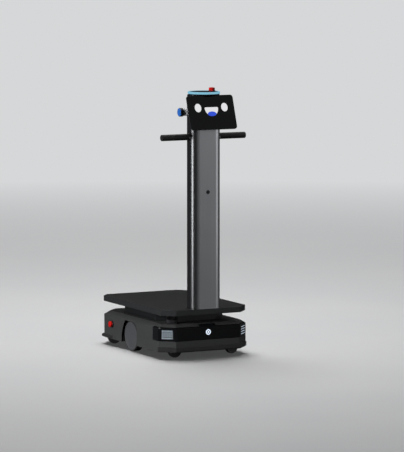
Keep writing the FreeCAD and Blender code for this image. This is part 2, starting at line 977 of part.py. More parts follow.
def deck_outline(inset, z):
    return chamfered_plan(
        deck_half_width - inset,
        deck_front_y + inset,
        deck_rear_y - inset,
        chamfer_after(deck_chamfer, inset),
        chamfer_after(deck_rear_chamfer, inset),
        deck_corner_round,
        z,
    )


def column_pad(gap):
    """Ground that the column takes from the load surface, open to the front."""
    half = column_half_width + gap
    return box(-half, half, deck_front_y - 1, column_rear_y + gap, deck_bottom, reach)


def deck_frame():
    """Hollow box panel with a pocket for the mat and a pad for the column."""
    block = prism(deck_outline(0, deck_bottom), deck_top - deck_bottom)
    low = deck_top - deck_mat_thickness
    pocket = prism(deck_outline(deck_mat_margin, low), deck_mat_thickness).cut(column_pad(0))
    hollow = prism(deck_outline(deck_wall, deck_bottom + deck_wall), low - deck_bottom - 2 * deck_wall)
    return block.cut(pocket).cut(hollow)


def deck_mat():
    """Load surface let into the deck round the column, its outer edge bevelled."""
    low = deck_top - deck_mat_thickness
    inset = deck_mat_margin + insert_gap
    body = prism(deck_outline(inset, low), deck_mat_thickness - deck_mat_bevel)
    bevel = Part.makeLoft(
        [deck_outline(inset, deck_top - deck_mat_bevel), deck_outline(inset + deck_mat_bevel, deck_top)], True, True
    )
    return body.fuse(bevel).removeSplitter().cut(column_pad(insert_gap))


# ---------------------------------------------------------------- column
def column_outline(inset, z):
    points = [
        (column_half_width - inset, column_front_y + inset),
        (column_half_width - inset, column_rear_y - inset),
        (inset - column_half_width, column_rear_y - inset),
        (inset - column_half_width, column_front_y + inset),
    ]
    front = column_front_round - inset
    rear = column_rear_round - inset
    return round_polygon(points, [front, rear, rear, front], z)


def column_tube():
    height = column_top - deck_top
    outer = prism(column_outline(0, deck_top), height)
    return outer.cut(prism(column_outline(column_wall, deck_top), height))


def handle_bore(radius):
    return cylinder(radius, 2 * reach, Vector(-reach, handle_y, handle_z), X_AXIS)


def column_front():
    """Extruded face of the column, with screw channels and lips along its rear edges."""
    height = column_top - deck_top
    shell = column_tube().common(block_front_of(column_split_y - panel_seam, 0, reach))
    extras = []
    inner = column_half_width - column_wall
    for sign in (-1, 1):
        x = sign * (inner - column_boss_radius + 0.5)
        place = Vector(x, column_split_y - panel_seam - column_boss_radius, deck_top)
        extras.append(cylinder(column_boss_radius, height, place, Z_AXIS))
    shell = shell.multiFuse(extras)
    bores = [handle_bore(handle_tube_radius + insert_gap)]
    for sign in (-1, 1):
        x = sign * (inner - column_boss_radius + 0.5)
        place = Vector(x, column_split_y - panel_seam - column_boss_radius, deck_top)
        bores.append(cylinder(2.5, height, place, Z_AXIS))
    power = Vector(0, column_front_y - 1, power_button_z)
    bores.append(cylinder(power_bezel_radius - power_bezel_flange + insert_gap, column_wall + 2, power, Y_AXIS))
    return shell.cut(Part.makeCompound(bores)).removeSplitter()


def column_rear():
    """Channel that closes the column from behind."""
    shell = column_tube().common(block_behind(column_split_y, 0, reach))
    lip_inner = column_half_width - column_wall
    lips = []
    for sign in (-1, 1):
        low = lip_inner - column_wall if sign > 0 else -lip_inner
        high = lip_inner if sign > 0 else column_wall - lip_inner
        lips.append(box(low, high, column_split_y, column_split_y + column_lip, deck_top, column_top))
    return shell.multiFuse(lips).cut(handle_bore(handle_tube_radius + insert_gap)).removeSplitter()


def column_foot():
    """Cast shoe inside the bottom of the column that bolts it to the deck."""
    inset = column_wall + column_foot_gap
    boss_room = 2 * column_boss_radius
    half = column_half_width - column_wall - boss_room - column_foot_gap
    front = column_front_y + inset
    rear = column_rear_y - inset
    front_radius = column_front_round - inset
    wall = column_foot_wall
    top = deck_top + column_foot_height
    shoe = rounded_block(half, front, rear, deck_top, top, wall + 2, front_radius)
    well = rounded_block(half - wall, front + wall, rear - wall, deck_top + wall, top, 2, front_radius - wall)
    return shoe.cut(well)


def power_bezel():
    """Flanged bushing in the column face."""
    profile = [
        (-power_bezel_flange, power_button_radius + button_side_gap),
        (-power_bezel_flange, power_bezel_radius - 0.8),
        (-power_bezel_flange / 2, power_bezel_radius),
        (0, power_bezel_radius),
        (0, power_bezel_radius - power_bezel_flange),
        (power_button_depth + power_button_travel + 2, power_bezel_radius - power_bezel_flange),
        (power_button_depth + power_button_travel + 2, 0),
        (power_button_depth + power_button_travel + 1, 0),
        (power_button_depth + power_button_travel + 1, power_button_radius + button_side_gap),
    ]
    return turned(profile, Vector(0, column_front_y, power_button_z), Y_AXIS)


def power_button():
    profile = [
        (-power_bezel_flange - 0.8, 0),
        (-power_bezel_flange - 0.8, power_button_radius - 1),
        (-power_bezel_flange, power_button_radius),
        (power_button_depth, power_button_radius),
        (power_button_depth, 0),
    ]
    return turned(profile, Vector(0, column_front_y, power_button_z), Y_AXIS)


# ---------------------------------------------------------------- handlebar
def handle_tube():
    length = 2 * (handle_half_length - grip_end)
    start = Vector(-length / 2, handle_y, handle_z)
    return tube(handle_tube_radius, handle_tube_radius - handle_tube_wall, length, start, X_AXIS)


def handle_collars():
    """Split clamps that hold the tube against the sides of the column."""
    solids = []
    for side in (LEFT, RIGHT):
        start = Vector(column_half_width, handle_y, handle_z)
        profile = [
            (0, handle_tube_radius),
            (0, collar_radius),
            (collar_length - 1.5, collar_radius),
            (collar_length, collar_radius - 1.5),
            (collar_length, handle_tube_radius),
        ]
        solids.append(on_side(turned(profile, start, X_AXIS), side))
    return Part.makeCompound(solids)


def grip(side):
    """Moulded sleeve with a flanged inner end and a rounded closed end."""
    start_x = column_half_width + collar_length
    length = handle_half_length - start_x
    profile = [(0, handle_tube_radius), (0, grip_radius - 1), (1, grip_radius)]
    profile.extend(round_steps(length - grip_round, grip_radius - grip_round, grip_round, 90))
    profile.append((length, 0))
    profile.append((length - grip_end, 0))
    profile.append((length - grip_end, handle_tube_radius))
    return on_side(turned(profile, Vector(start_x, handle_y, handle_z), X_AXIS), side)


# ---------------------------------------------------------------- display
def in_display(shape):
    """Tilt a piece made upright, its front face at y = 0 and its bottom edge at z = 0."""
    placed = shape.copy()
    placed.rotate(Vector(0, 0, 0), X_AXIS, -display_tilt)
    placed.translate(Vector(0, display_front_y, display_bottom_z))
    return placed


def display_plan(inset, depth):
    """Rounded outline of the display at a distance behind its front face."""
    half = display_width / 2 - inset
    points = [
        (-half, inset),
        (half, inset),
        (half, display_height - inset),
        (-half, display_height - inset),
    ]
    wire = round_polygon(points, [max(display_round - inset, 3)] * 4, 0)
    wire.rotate(Vector(0, 0, 0), X_AXIS, 90)
    wire.translate(Vector(0, depth, 0))
    return wire


def display_glass_plate():
    """Front glass let into the housing."""
    face = Part.Face(display_plan(display_rim + insert_gap, 0))
    plate = face.extrude(Vector(0, display_glass, 0))

    def front_edge(edge):
        return edge.BoundBox.YLength < 0.01 and abs(edge.BoundBox.YMin) < 0.01

    plate = plate.makeChamfer(0.6, edges_where(plate, front_edge))
    return in_display(plate)


def display_housing():
    """Shallow moulded back that tapers behind the glass."""
    straight = display_depth / 2
    rim = Part.Face(display_plan(0, 0)).extrude(Vector(0, straight, 0))
    taper = Part.makeLoft([display_plan(0, straight), display_plan(display_back_inset, display_depth)], True, True)
    pocket = Part.Face(display_plan(display_rim, -1)).extrude(Vector(0, display_glass + 1, 0))
    inside = Part.Face(display_plan(display_back_inset, display_glass)).extrude(
        Vector(0, display_depth - display_glass - 3, 0)
    )
    return in_display(rim.fuse(taper).cut(pocket).cut(inside).removeSplitter())


def display_bracket():
    """Wedge arm from the face of the column to the back of the display."""
    tilt = display_slope
    middle = display_height / 2 - bracket_drop

    def back_of_display(along):
        y = display_front_y + along * math.sin(tilt) + display_depth * math.cos(tilt)
        z = display_bottom_z + along * math.cos(tilt) - display_depth * math.sin(tilt)
        return y, z

    low_y, low_z = back_of_display(middle - bracket_height / 2)
    high_y, high_z = back_of_display(middle + bracket_height / 2)
    points = [
        Vector(-bracket_half_width, low_y, low_z),
        Vector(-bracket_half_width, high_y, high_z),
        Vector(-bracket_half_width, column_front_y, high_z),
        Vector(-bracket_half_width, column_front_y, low_z - 6),
    ]
    points.append(points[0])
    wedge = Part.Face(Part.makePolygon(points)).extrude(Vector(2 * bracket_half_width, 0, 0))
    return wedge


# ---------------------------------------------------------------- head
def head_base():
    """Neck on the column and the round shelf that carries the lamp ring."""
    neck = prism(column_outline(head_floor_drop, column_top), head_neck_height)
    start = Vector(0, head_y, shelf_bottom)
    profile = [
        (0, 0),
        (0, head_radius - 5),
        (head_shelf_thickness - 1, head_radius - 2),
        (head_shelf_thickness, head_radius - 2),
        (head_shelf_thickness, head_radius - ring_wall - insert_gap),
        (head_shelf_thickness + ring_height - head_top_inset - 4, head_radius - ring_wall - insert_gap),
        (head_shelf_thickness + ring_height - head_top_inset - 4, 0),
    ]
    drum = turned(profile, start, Z_AXIS)
    cup_bore = cylinder(stop_radius + stop_cup_gap + stop_cup_wall, reach, top_stop_start(), Z_AXIS)
    stem_start = top_stop_start() - Z_AXIS * stop_travel
    stem_bore = cylinder(stop_stem_radius + stop_stem_gap, reach, stem_start, Z_AXIS)
    return neck.fuse(drum).cut(cup_bore).cut(stem_bore).removeSplitter()


def light_ring():
    """Diffuser band all round the head, its outer edges rounded."""
    side = head_radius - ring_round
    profile = [(0, head_radius - ring_wall)]
    profile.extend(round_steps(ring_round, side, ring_round, 180))
    profile.extend(round_steps(ring_height - ring_round, side, ring_round, 90))
    profile.append((ring_height, head_radius - ring_wall))
    return turned(profile, Vector(0, head_y, ring_bottom), Z_AXIS)


def head_top():
    """Lid inside the ring, slightly domed, with a hole for the stop button."""
    radius = head_radius - ring_wall - insert_gap
    low = ring_top - head_top_inset - 4
    profile = [
        (0, 0),
        (0, radius),
        (3, radius),
        (4, radius - 1),
        (4, radius - 8),
        (4 + head_top_rise, radius - 12),
        (4 + head_top_rise, 0),
    ]
    lid = turned(profile, Vector(0, head_y, low), Z_AXIS)
    bore_radius = stop_radius + stop_cup_gap + stop_cup_wall + insert_gap
    return lid.cut(cylinder(bore_radius, reach, Vector(top_stop_x, top_stop_y, 0), Z_AXIS))


# ---------------------------------------------------------------- buttons
def top_stop_floor():
    """Height of the underside of the cup of the stop button on the head."""
    return ring_top + top_stop_lip - stop_travel - stop_floor - 1


def stop_cup(start, axis):
    """Open cup that the stop button sinks into."""
    outer = stop_radius + stop_cup_gap + stop_cup_wall
    inner = stop_radius + stop_cup_gap
    rim = stop_floor + stop_travel + 1
    profile = [
        (0, stop_stem_radius + stop_stem_gap),
        (0, outer),
        (rim - 1, outer),
        (rim, outer - 1),
        (rim, inner),
        (stop_floor, inner),
        (stop_floor, stop_stem_radius + stop_stem_gap),
    ]
    return turned(profile, start, axis)


def stop_button(start, axis, height):
    """Mushroom head on a stem; the start point is the middle of the cup's underside."""
    low = stop_floor + stop_travel + 0.5
    top = low + height
    profile = [(1, 0), (1, stop_stem_radius), (low, stop_stem_radius), (low, stop_radius - 1), (low + 1, stop_radius)]
    profile.extend(round_steps(top - 1 - stop_edge_round, stop_radius - stop_edge_round, stop_edge_round, 90))
    profile.append((top, stop_radius * 0.35))
    profile.append((top, 0))
    return turned(profile, start, axis)


def side_stop_start():
    """Middle of the underside of the cup in the right side panel."""
    depth = stop_floor + stop_travel + 1 - side_stop_proud
    return Vector(half_width - depth, side_stop_y, side_stop_z)


def top_stop_start():
    return Vector(top_stop_x, top_stop_y, top_stop_floor())


def side_stop_cups():
    cup = stop_cup(side_stop_start(), X_AXIS)
    return Part.makeCompound([cup, mirrored(cup)])


def call_start():
    """Where the call button's collar meets the column; the button points to the left."""
    return Vector(-column_half_width, call_y, call_z)


def call_collar():
    """Turned collar with two grooves."""
    groove = call_groove_width
    deep = call_collar_radius - call_groove_depth
    profile = [(0, 0), (0, call_collar_radius)]
    for share in (0.3, 0.62):
        along = call_collar_length * share
        profile.append((along, call_collar_radius))
        profile.append((along + 0.5, deep))
        profile.append((along + groove, deep))
        profile.append((along + groove + 0.5, call_collar_radius))
    profile.append((call_collar_length, call_collar_radius))
    profile.append((call_collar_length, 0))
    return turned(profile, call_start(), -X_AXIS)


def call_ring():
    """Black housing ring, open at its outer end for the cap."""
    seat = call_ring_length - call_cap_seat - call_travel
    start = call_start() - X_AXIS * call_collar_length
    profile = [
        (0, 0),
        (0, call_ring_radius - 1),
        (1, call_ring_radius),
        (call_ring_length - 1, call_ring_radius),
        (call_ring_length, call_ring_radius - 0.6),
        (call_ring_length, call_cap_radius + button_side_gap),
        (seat - 1, call_cap_radius + button_side_gap),
        (seat - 1, 0),
    ]
    return turned(profile, start, -X_AXIS)


def call_button():
    """Domed cap that slides in the ring."""
    low = call_ring_length - call_cap_seat
    start = call_start() - X_AXIS * call_collar_length
    top = call_ring_length + call_cap_height
    profile = [(low, 0), (low, call_cap_radius)]
    profile.extend(round_steps(top - call_cap_round, call_cap_radius - call_cap_round, call_cap_round, 90))
    profile.append((top, 0))
    return turned(profile, start, -X_AXIS)


# ---------------------------------------------------------------- all pieces
def build():
    shell = body_shell()
    pieces = {
        "chassis_plate": chassis_plate(),
        "bottom_tray": bottom_tray(),
        "left_side_panel": side_panel(shell, LEFT),
        "right_side_panel": side_panel(shell, RIGHT),
        "rear_panel": rear_panel(shell),
        "top_cover": top_cover(shell),
        "front_window": front_window(shell),
        "front_fascia": front_fascia(shell),
        "front_camera": front_camera(shell),
        "front_bumper": front_bumper(),
        "rear_bumper": rear_bumper(),
        "left_led_matrix": led_matrix(LEFT),
        "right_led_matrix": led_matrix(RIGHT),
        "status_light": status_light(),
        "battery_pack": battery_pack(),
        "drive_controller": drive_controller(),
        "charge_contacts": charge_contacts(),
        "pedestal": pedestal(),
        "scanner_bodies": scanner_bodies(),
        "scanner_windows": scanner_windows(),
        "deck_frame": deck_frame(),
        "deck_mat": deck_mat(),
        "column_front": column_front(),
        "column_rear": column_rear(),
        "column_foot": column_foot(),
        "power_bezel": power_bezel(),
        "power_button": power_button(),
        "handle_tube": handle_tube(),
        "handle_collars": handle_collars(),
        "left_grip": grip(LEFT),
        "right_grip": grip(RIGHT),
        "display_glass": display_glass_plate(),
        "display_housing": display_housing(),
        "display_bracket": display_bracket(),
        "head_base": head_base(),
        "light_ring": light_ring(),
        "head_top": head_top(),
        "top_stop_cup": stop_cup(top_stop_start(), Z_AXIS),
        "top_stop_button": stop_button(top_stop_start(), Z_AXIS, top_stop_height),
        "side_stop_cups": side_stop_cups(),
        "call_collar": call_collar(),
        "call_ring": call_ring(),
        "call_button": call_button(),
        "caster_plates": Part.makeCompound([caster_plate(corner) for corner in caster_yaw]),
    }
    for side, word in ((LEFT, "left"), (RIGHT, "right")):
        pieces[word + "_tyre"] = drive_tyre(side)
        pieces[word + "_hub"] = drive_hub(side)
        pieces[word + "_motor"] = drive_motor(side)
        pieces[word + "_stop_button"] = on_side(stop_button(side_stop_start(), X_AXIS, side_stop_height), side)
    for corner in caster_yaw:
        pieces[corner + "_caster_fork"] = caster_fork(corner)
        pieces[corner + "_caster_wheel"] = caster_wheel(corner)
    return pieces


for node, solid in build().items():
    save(node, solid)
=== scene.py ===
"""Looks of the autonomous mobile robot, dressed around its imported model. Metres, front towards -Y."""
import json
import math

import bmesh
import bpy
from mathutils import Matrix, Vector

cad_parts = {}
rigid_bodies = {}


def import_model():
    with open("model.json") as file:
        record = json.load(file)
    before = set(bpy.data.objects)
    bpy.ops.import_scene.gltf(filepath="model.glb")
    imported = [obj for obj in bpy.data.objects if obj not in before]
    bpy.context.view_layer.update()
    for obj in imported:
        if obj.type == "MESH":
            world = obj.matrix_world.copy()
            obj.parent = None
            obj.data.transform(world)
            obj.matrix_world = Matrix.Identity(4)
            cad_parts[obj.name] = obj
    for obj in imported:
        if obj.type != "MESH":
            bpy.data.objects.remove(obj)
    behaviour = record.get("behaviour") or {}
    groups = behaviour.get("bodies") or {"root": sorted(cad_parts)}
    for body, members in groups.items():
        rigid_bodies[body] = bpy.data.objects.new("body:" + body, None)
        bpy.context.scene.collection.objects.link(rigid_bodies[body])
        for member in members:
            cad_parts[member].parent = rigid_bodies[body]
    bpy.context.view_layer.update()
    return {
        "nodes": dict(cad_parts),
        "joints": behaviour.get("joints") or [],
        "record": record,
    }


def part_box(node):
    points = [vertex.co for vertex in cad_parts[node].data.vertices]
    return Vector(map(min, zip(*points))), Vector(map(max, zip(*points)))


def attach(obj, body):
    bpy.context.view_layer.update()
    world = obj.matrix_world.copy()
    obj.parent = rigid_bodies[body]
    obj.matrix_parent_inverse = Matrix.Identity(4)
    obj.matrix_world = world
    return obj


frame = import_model()

MM = 0.001
X_AXIS = Vector((1, 0, 0))
Y_AXIS = Vector((0, 1, 0))
Z_AXIS = Vector((0, 0, 1))
SIDES = {"left": -1, "right": 1}
CORNERS = ("front_left", "front_right", "rear_left", "rear_right")

MOULDED_EDGE = 0.0012
CRISP_EDGE = 0.0008
MOULDED_RELIEF = 0.0002
METAL_RELIEF = 0.0001


# ---------------------------------------------------------------- colour and node helpers
def srgb(red, green, blue):
    """Linear colour from 0 to 255 display values."""
    def linear(value):
        share = value / 255
        return share / 12.92 if share <= 0.04045 else ((share + 0.055) / 1.055) ** 2.4
    return (linear(red), linear(green), linear(blue), 1.0)


def add_node(tree, kind, **settings):
    """Node of one kind; a setting named as a socket sets its value, any other sets a property."""
    node = tree.nodes.new(kind)
    for name, value in settings.items():
        socket = node.inputs.get(name.replace("_", " "))
        if socket is not None:
            socket.default_value = value
        else:
            setattr(node, name, value)
    return node


def new_group(name, inputs, outputs):
    """Shader node group with named sockets; inputs are (name, type, default)."""
    tree = bpy.data.node_groups.new(name, "ShaderNodeTree")
    for label, kind, default in inputs:
        socket = tree.interface.new_socket(label, in_out="INPUT", socket_type=kind)
        socket.default_value = default
    for label, kind in outputs:
        tree.interface.new_socket(label, in_out="OUTPUT", socket_type=kind)
    return tree, tree.nodes.new("NodeGroupInput"), tree.nodes.new("NodeGroupOutput")


def object_point(tree, stretch=(1, 1, 1)):
    """Position on the piece, stretched; it stays with the piece when the piece moves."""
    place = tree.nodes.new("ShaderNodeTexCoord")
    mapping = add_node(tree, "ShaderNodeMapping", vector_type="POINT", Scale=stretch)
    tree.links.new(place.outputs["Object"], mapping.inputs["Vector"])
    return mapping.outputs["Vector"]


def noise(tree, vector, scale, detail=2.0):
    """Noise value; scale is a number or a socket."""
    texture = add_node(tree, "ShaderNodeTexNoise", Detail=detail, Roughness=0.55)
    tree.links.new(vector, texture.inputs["Vector"])
    put(tree, scale, texture.inputs["Scale"])
    return texture.outputs["Fac"]


def put(tree, value, socket):
    """Link a socket, or set a plain value."""
    if isinstance(value, bpy.types.NodeSocket):
        tree.links.new(value, socket)
    else:
        socket.default_value = value


def sums(tree, operation, first, second, third=None, clamp=False):
    """Result of one math operation on numbers or sockets."""
    node = add_node(tree, "ShaderNodeMath", operation=operation, use_clamp=clamp)
    put(tree, first, node.inputs[0])
    put(tree, second, node.inputs[1])
    if third is not None:
        put(tree, third, node.inputs[2])
    return node.outputs[0]


def spread(tree, value, low, high, out_low=0.0, out_high=1.0):
    """Map a value from one range to another, clamped."""
    node = add_node(tree, "ShaderNodeMapRange", clamp=True)
    for label, number in (("From Min", low), ("From Max", high), ("To Min", out_low), ("To Max", out_high)):
        put(tree, number, node.inputs[label])
    put(tree, value, node.inputs["Value"])
    return node.outputs["Result"]


def blended(tree, share, first, second, kind="MIX"):
    """Mix two colours."""
    node = add_node(tree, "ShaderNodeMix", data_type="RGBA", blend_type=kind)
    put(tree, share, node.inputs[0])
    put(tree, first, node.inputs[6])
    put(tree, second, node.inputs[7])
    return node.outputs[2]


def scaled(tree, vector, factor):
    """Colour or vector times a factor."""
    node = add_node(tree, "ShaderNodeVectorMath", operation="SCALE")
    put(tree, vector, node.inputs[0])
    put(tree, factor, node.inputs["Scale"])
    return node.outputs[0]


def swing(tree, value, amount):
    """A value from 0 to 1 as a swing about zero."""
    return sums(tree, "MULTIPLY", sums(tree, "SUBTRACT", value, 0.5), amount)


def shaded(tree, colour, first, second):
    """Colour made lighter and darker by two swings."""
    gain = sums(tree, "ADD", sums(tree, "MULTIPLY", sums(tree, "ADD", first, second), 2.0), 1.0)
    return scaled(tree, colour, gain)


# ---------------------------------------------------------------- shared effects
def moulded_grain():
    """Fine spark texture with cloudy shade, for moulded plastic, rubber and powder coat."""
    tree, given, out = new_group(
        "Moulded Grain",
        [
            ("Colour", "NodeSocketColor", (0.1, 0.1, 0.1, 1)),
            ("Roughness", "NodeSocketFloat", 0.5),
            ("Grain Scale", "NodeSocketFloat", 1400.0),
            ("Cloud", "NodeSocketFloat", 0.08),
        ],
        [("Colour", "NodeSocketColor"), ("Roughness", "NodeSocketFloat"), ("Height", "NodeSocketFloat")],
    )
    point = object_point(tree)
    fine = noise(tree, point, given.outputs["Grain Scale"], 3.0)
    broad = noise(tree, point, 5.0, 2.0)
    cloud = swing(tree, broad, given.outputs["Cloud"])
    speckle = swing(tree, fine, given.outputs["Cloud"])
    tree.links.new(shaded(tree, given.outputs["Colour"], cloud, speckle), out.inputs["Colour"])
    rough = sums(tree, "ADD", given.outputs["Roughness"], sums(tree, "MULTIPLY", cloud, 0.8), clamp=True)
    tree.links.new(rough, out.inputs["Roughness"])
    tree.links.new(fine, out.inputs["Height"])
    return tree


def brushed_lines():
    """Long fine scratches along one direction, for extruded and turned metal."""
    tree, given, out = new_group(
        "Brushed Lines",
        [
            ("Colour", "NodeSocketColor", (0.5, 0.5, 0.5, 1)),
            ("Roughness", "NodeSocketFloat", 0.3),
            ("Stretch", "NodeSocketVector", (900, 900, 6)),
            ("Strength", "NodeSocketFloat", 0.12),
        ],
        [("Colour", "NodeSocketColor"), ("Roughness", "NodeSocketFloat"), ("Height", "NodeSocketFloat")],
    )
    place = tree.nodes.new("ShaderNodeTexCoord")
    stretched = add_node(tree, "ShaderNodeVectorMath", operation="MULTIPLY")
    tree.links.new(place.outputs["Object"], stretched.inputs[0])
    tree.links.new(given.outputs["Stretch"], stretched.inputs[1])
    lines = noise(tree, stretched.outputs[0], 1.0, 4.0)
    cloud = noise(tree, object_point(tree), 3.0, 2.0)
    scratch = swing(tree, lines, given.outputs["Strength"])
    drift = swing(tree, cloud, given.outputs["Strength"])
    tree.links.new(shaded(tree, given.outputs["Colour"], scratch, drift), out.inputs["Colour"])
    rough = sums(tree, "ADD", given.outputs["Roughness"], scratch, clamp=True)
    tree.links.new(rough, out.inputs["Roughness"])
    tree.links.new(lines, out.inputs["Height"])
    return tree


def handling_marks():
    """Faint smears and hairlines that change the gloss of a smooth surface."""
    tree, given, out = new_group(
        "Handling Marks",
        [("Roughness", "NodeSocketFloat", 0.1), ("Amount", "NodeSocketFloat", 0.08)],
        [("Roughness", "NodeSocketFloat"), ("Height", "NodeSocketFloat")],
    )
    smear = spread(tree, noise(tree, object_point(tree, (1, 1, 2.5)), 9.0, 4.0), 0.45, 0.75)
    hairline = spread(tree, noise(tree, object_point(tree, (40, 260, 900)), 1.0, 2.0), 0.68, 0.72)
    both = sums(tree, "ADD", smear, sums(tree, "MULTIPLY", hairline, 0.5))
    rough = sums(tree, "MULTIPLY_ADD", both, given.outputs["Amount"], given.outputs["Roughness"], clamp=True)
    tree.links.new(rough, out.inputs["Roughness"])
    tree.links.new(noise(tree, object_point(tree), 60.0, 2.0), out.inputs["Height"])
    return tree


def settled_dust():
    """Thin pale film on faces that look up and near the floor."""
    tree, given, out = new_group(
        "Settled Dust",
        [
            ("Colour", "NodeSocketColor", (0.1, 0.1, 0.1, 1)),
            ("Dust Colour", "NodeSocketColor", srgb(150, 148, 144)),
            ("Amount", "NodeSocketFloat", 0.06),
            ("Splash Height", "NodeSocketFloat", 0.09),
        ],
        [("Colour", "NodeSocketColor"), ("Mask", "NodeSocketFloat")],
    )
    place = tree.nodes.new("ShaderNodeTexCoord")
    normal = add_node(tree, "ShaderNodeSeparateXYZ")
    tree.links.new(place.outputs["Normal"], normal.inputs[0])
    point = add_node(tree, "ShaderNodeSeparateXYZ")
    tree.links.new(place.outputs["Object"], point.inputs[0])
    upward = spread(tree, normal.outputs["Z"], 0.4, 1.0)
    low = spread(tree, point.outputs["Z"], 0.0, given.outputs["Splash Height"], 1.0, 0.0)
    patch = spread(tree, noise(tree, object_point(tree), 26.0, 5.0), 0.35, 0.75)
    where = sums(tree, "MAXIMUM", upward, low)
    mask = sums(tree, "MULTIPLY", sums(tree, "MULTIPLY", where, patch), given.outputs["Amount"], clamp=True)
    colour = blended(tree, mask, given.outputs["Colour"], given.outputs["Dust Colour"])
    tree.links.new(colour, out.inputs["Colour"])
    tree.links.new(mask, out.inputs["Mask"])
    return tree


def soft_edge():
    """Mask of the outer edges for wear with a painted highlight along the arris, and a normal that rounds a
    moulded arris.
    """
    tree, given, out = new_group(
        "Soft Edge",
        [("Width", "NodeSocketFloat", 0.0012), ("Wear", "NodeSocketFloat", 0.3)],
        [("Mask", "NodeSocketFloat"), ("Normal", "NodeSocketVector")],
    )
    bevel = add_node(tree, "ShaderNodeBevel", samples=4)
    tree.links.new(given.outputs["Width"], bevel.inputs["Radius"])
    geometry = tree.nodes.new("ShaderNodeNewGeometry")
    dot = add_node(tree, "ShaderNodeVectorMath", operation="DOT_PRODUCT")
    tree.links.new(bevel.outputs["Normal"], dot.inputs[0])
    tree.links.new(geometry.outputs["Normal"], dot.inputs[1])
    edge = spread(tree, dot.outputs["Value"], 0.995, 0.8)
    broken = spread(tree, noise(tree, object_point(tree), 160.0, 4.0), 0.35, 0.65, 0.5, 1.0)
    # Edge mask, broken by noise: partly wear, partly a painted highlight.
    mask = sums(tree, "MULTIPLY", sums(tree, "MULTIPLY", edge, broken), given.outputs["Wear"], clamp=True)
    tree.links.new(mask, out.inputs["Mask"])
    tree.links.new(bevel.outputs["Normal"], out.inputs["Normal"])
    return tree


GROUPS = {
    "grain": moulded_grain(),
    "brushed": brushed_lines(),
    "marks": handling_marks(),
    "dust": settled_dust(),
    "edge": soft_edge(),
}


def place_group(tree, key, **values):
    node = tree.nodes.new("ShaderNodeGroup")
    node.node_tree = GROUPS[key]
    for name, value in values.items():
        put(tree, value, node.inputs[name.replace("_", " ")])
    return node


# ---------------------------------------------------------------- materials
def new_material(name):
    material = bpy.data.materials.new(name)
    material.use_nodes = True
    tree = material.node_tree
    return material, tree, tree.nodes["Principled BSDF"]


def paler(colour, gain, lift):
    """Lighter shade of a colour, for its edges: wear and a painted highlight."""
    return tuple(min(1.0, channel * gain + lift) for channel in colour[:3]) + (1.0,)


def add_bump(tree, shader, height, strength, distance, normal=None):
    bump = add_node(tree, "ShaderNodeBump", Strength=strength, Distance=distance)
    tree.links.new(height, bump.inputs["Height"])
    if normal is not None:
        tree.links.new(normal, bump.inputs["Normal"])
    tree.links.new(bump.outputs["Normal"], shader.inputs["Normal"])


def moulded(name, colour, roughness, grain=1400.0, bump=0.25, cloud=0.08, dust=0.06, wear_and_highlight=0.12):
    """Textured plastic, rubber or powder coat with soft edges, lighter there as wear and painted highlight,
    and a little dust.
    """
    material, tree, shader = new_material(name)
    surface = place_group(tree, "grain", Colour=colour, Roughness=roughness, Grain_Scale=grain, Cloud=cloud)
    edge = place_group(tree, "edge", Width=MOULDED_EDGE, Wear=wear_and_highlight)
    # Paler edges: partly wear, partly a painted highlight.
    worn_and_highlit = blended(tree, edge.outputs["Mask"], surface.outputs["Colour"], paler(colour, 2.2, 0.02))
    dusty = place_group(tree, "dust", Colour=worn_and_highlit, Amount=dust)
    tree.links.new(dusty.outputs["Colour"], shader.inputs["Base Color"])
    tree.links.new(surface.outputs["Roughness"], shader.inputs["Roughness"])
    add_bump(tree, shader, surface.outputs["Height"], bump, MOULDED_RELIEF, edge.outputs["Normal"])
    return material


def glossy(name, colour, roughness, marks=0.08, coat=0.0, specular=0.5):
    """Smooth gloss moulding or glass with faint smears, and edges lighter as wear and painted highlight."""
    material, tree, shader = new_material(name)
    smear = place_group(tree, "marks", Roughness=roughness, Amount=marks)
    edge = place_group(tree, "edge", Width=CRISP_EDGE, Wear=0.15)
    # Paler edges: partly wear, partly a painted highlight.
    tinted_wear_and_highlight = blended(tree, edge.outputs["Mask"], colour, paler(colour, 2.0, 0.03))
    dusty = place_group(tree, "dust", Colour=tinted_wear_and_highlight, Amount=0.02)
    tree.links.new(dusty.outputs["Colour"], shader.inputs["Base Color"])
    tree.links.new(smear.outputs["Roughness"], shader.inputs["Roughness"])
    shader.inputs["Specular IOR Level"].default_value = specular
    shader.inputs["Coat Weight"].default_value = coat
    shader.inputs["Coat Roughness"].default_value = 0.06
    add_bump(tree, shader, smear.outputs["Height"], 0.04, MOULDED_RELIEF, edge.outputs["Normal"])
    return material


def metal(name, colour, roughness, stretch, strength=0.12, bump=0.06, metallic=1.0, rounded=True):
    """Drawn, turned or plated metal, with edges lighter as wear and painted highlight; an arris that isn't
    rounded keeps its crisp normal.
    """
    material, tree, shader = new_material(name)
    settings = {"Colour": colour, "Roughness": roughness, "Stretch": stretch, "Strength": strength}
    lines = place_group(tree, "brushed", **settings)
    edge = place_group(tree, "edge", Width=CRISP_EDGE, Wear=0.2)
    # Paler edges: partly wear, partly a painted highlight.
    worn_and_highlit = blended(tree, edge.outputs["Mask"], lines.outputs["Colour"], paler(colour, 1.5, 0.05))
    tree.links.new(worn_and_highlit, shader.inputs["Base Color"])
    tree.links.new(lines.outputs["Roughness"], shader.inputs["Roughness"])
    shader.inputs["Metallic"].default_value = metallic
    normal = edge.outputs["Normal"] if rounded else None
    add_bump(tree, shader, lines.outputs["Height"], bump, METAL_RELIEF, normal)
    return material


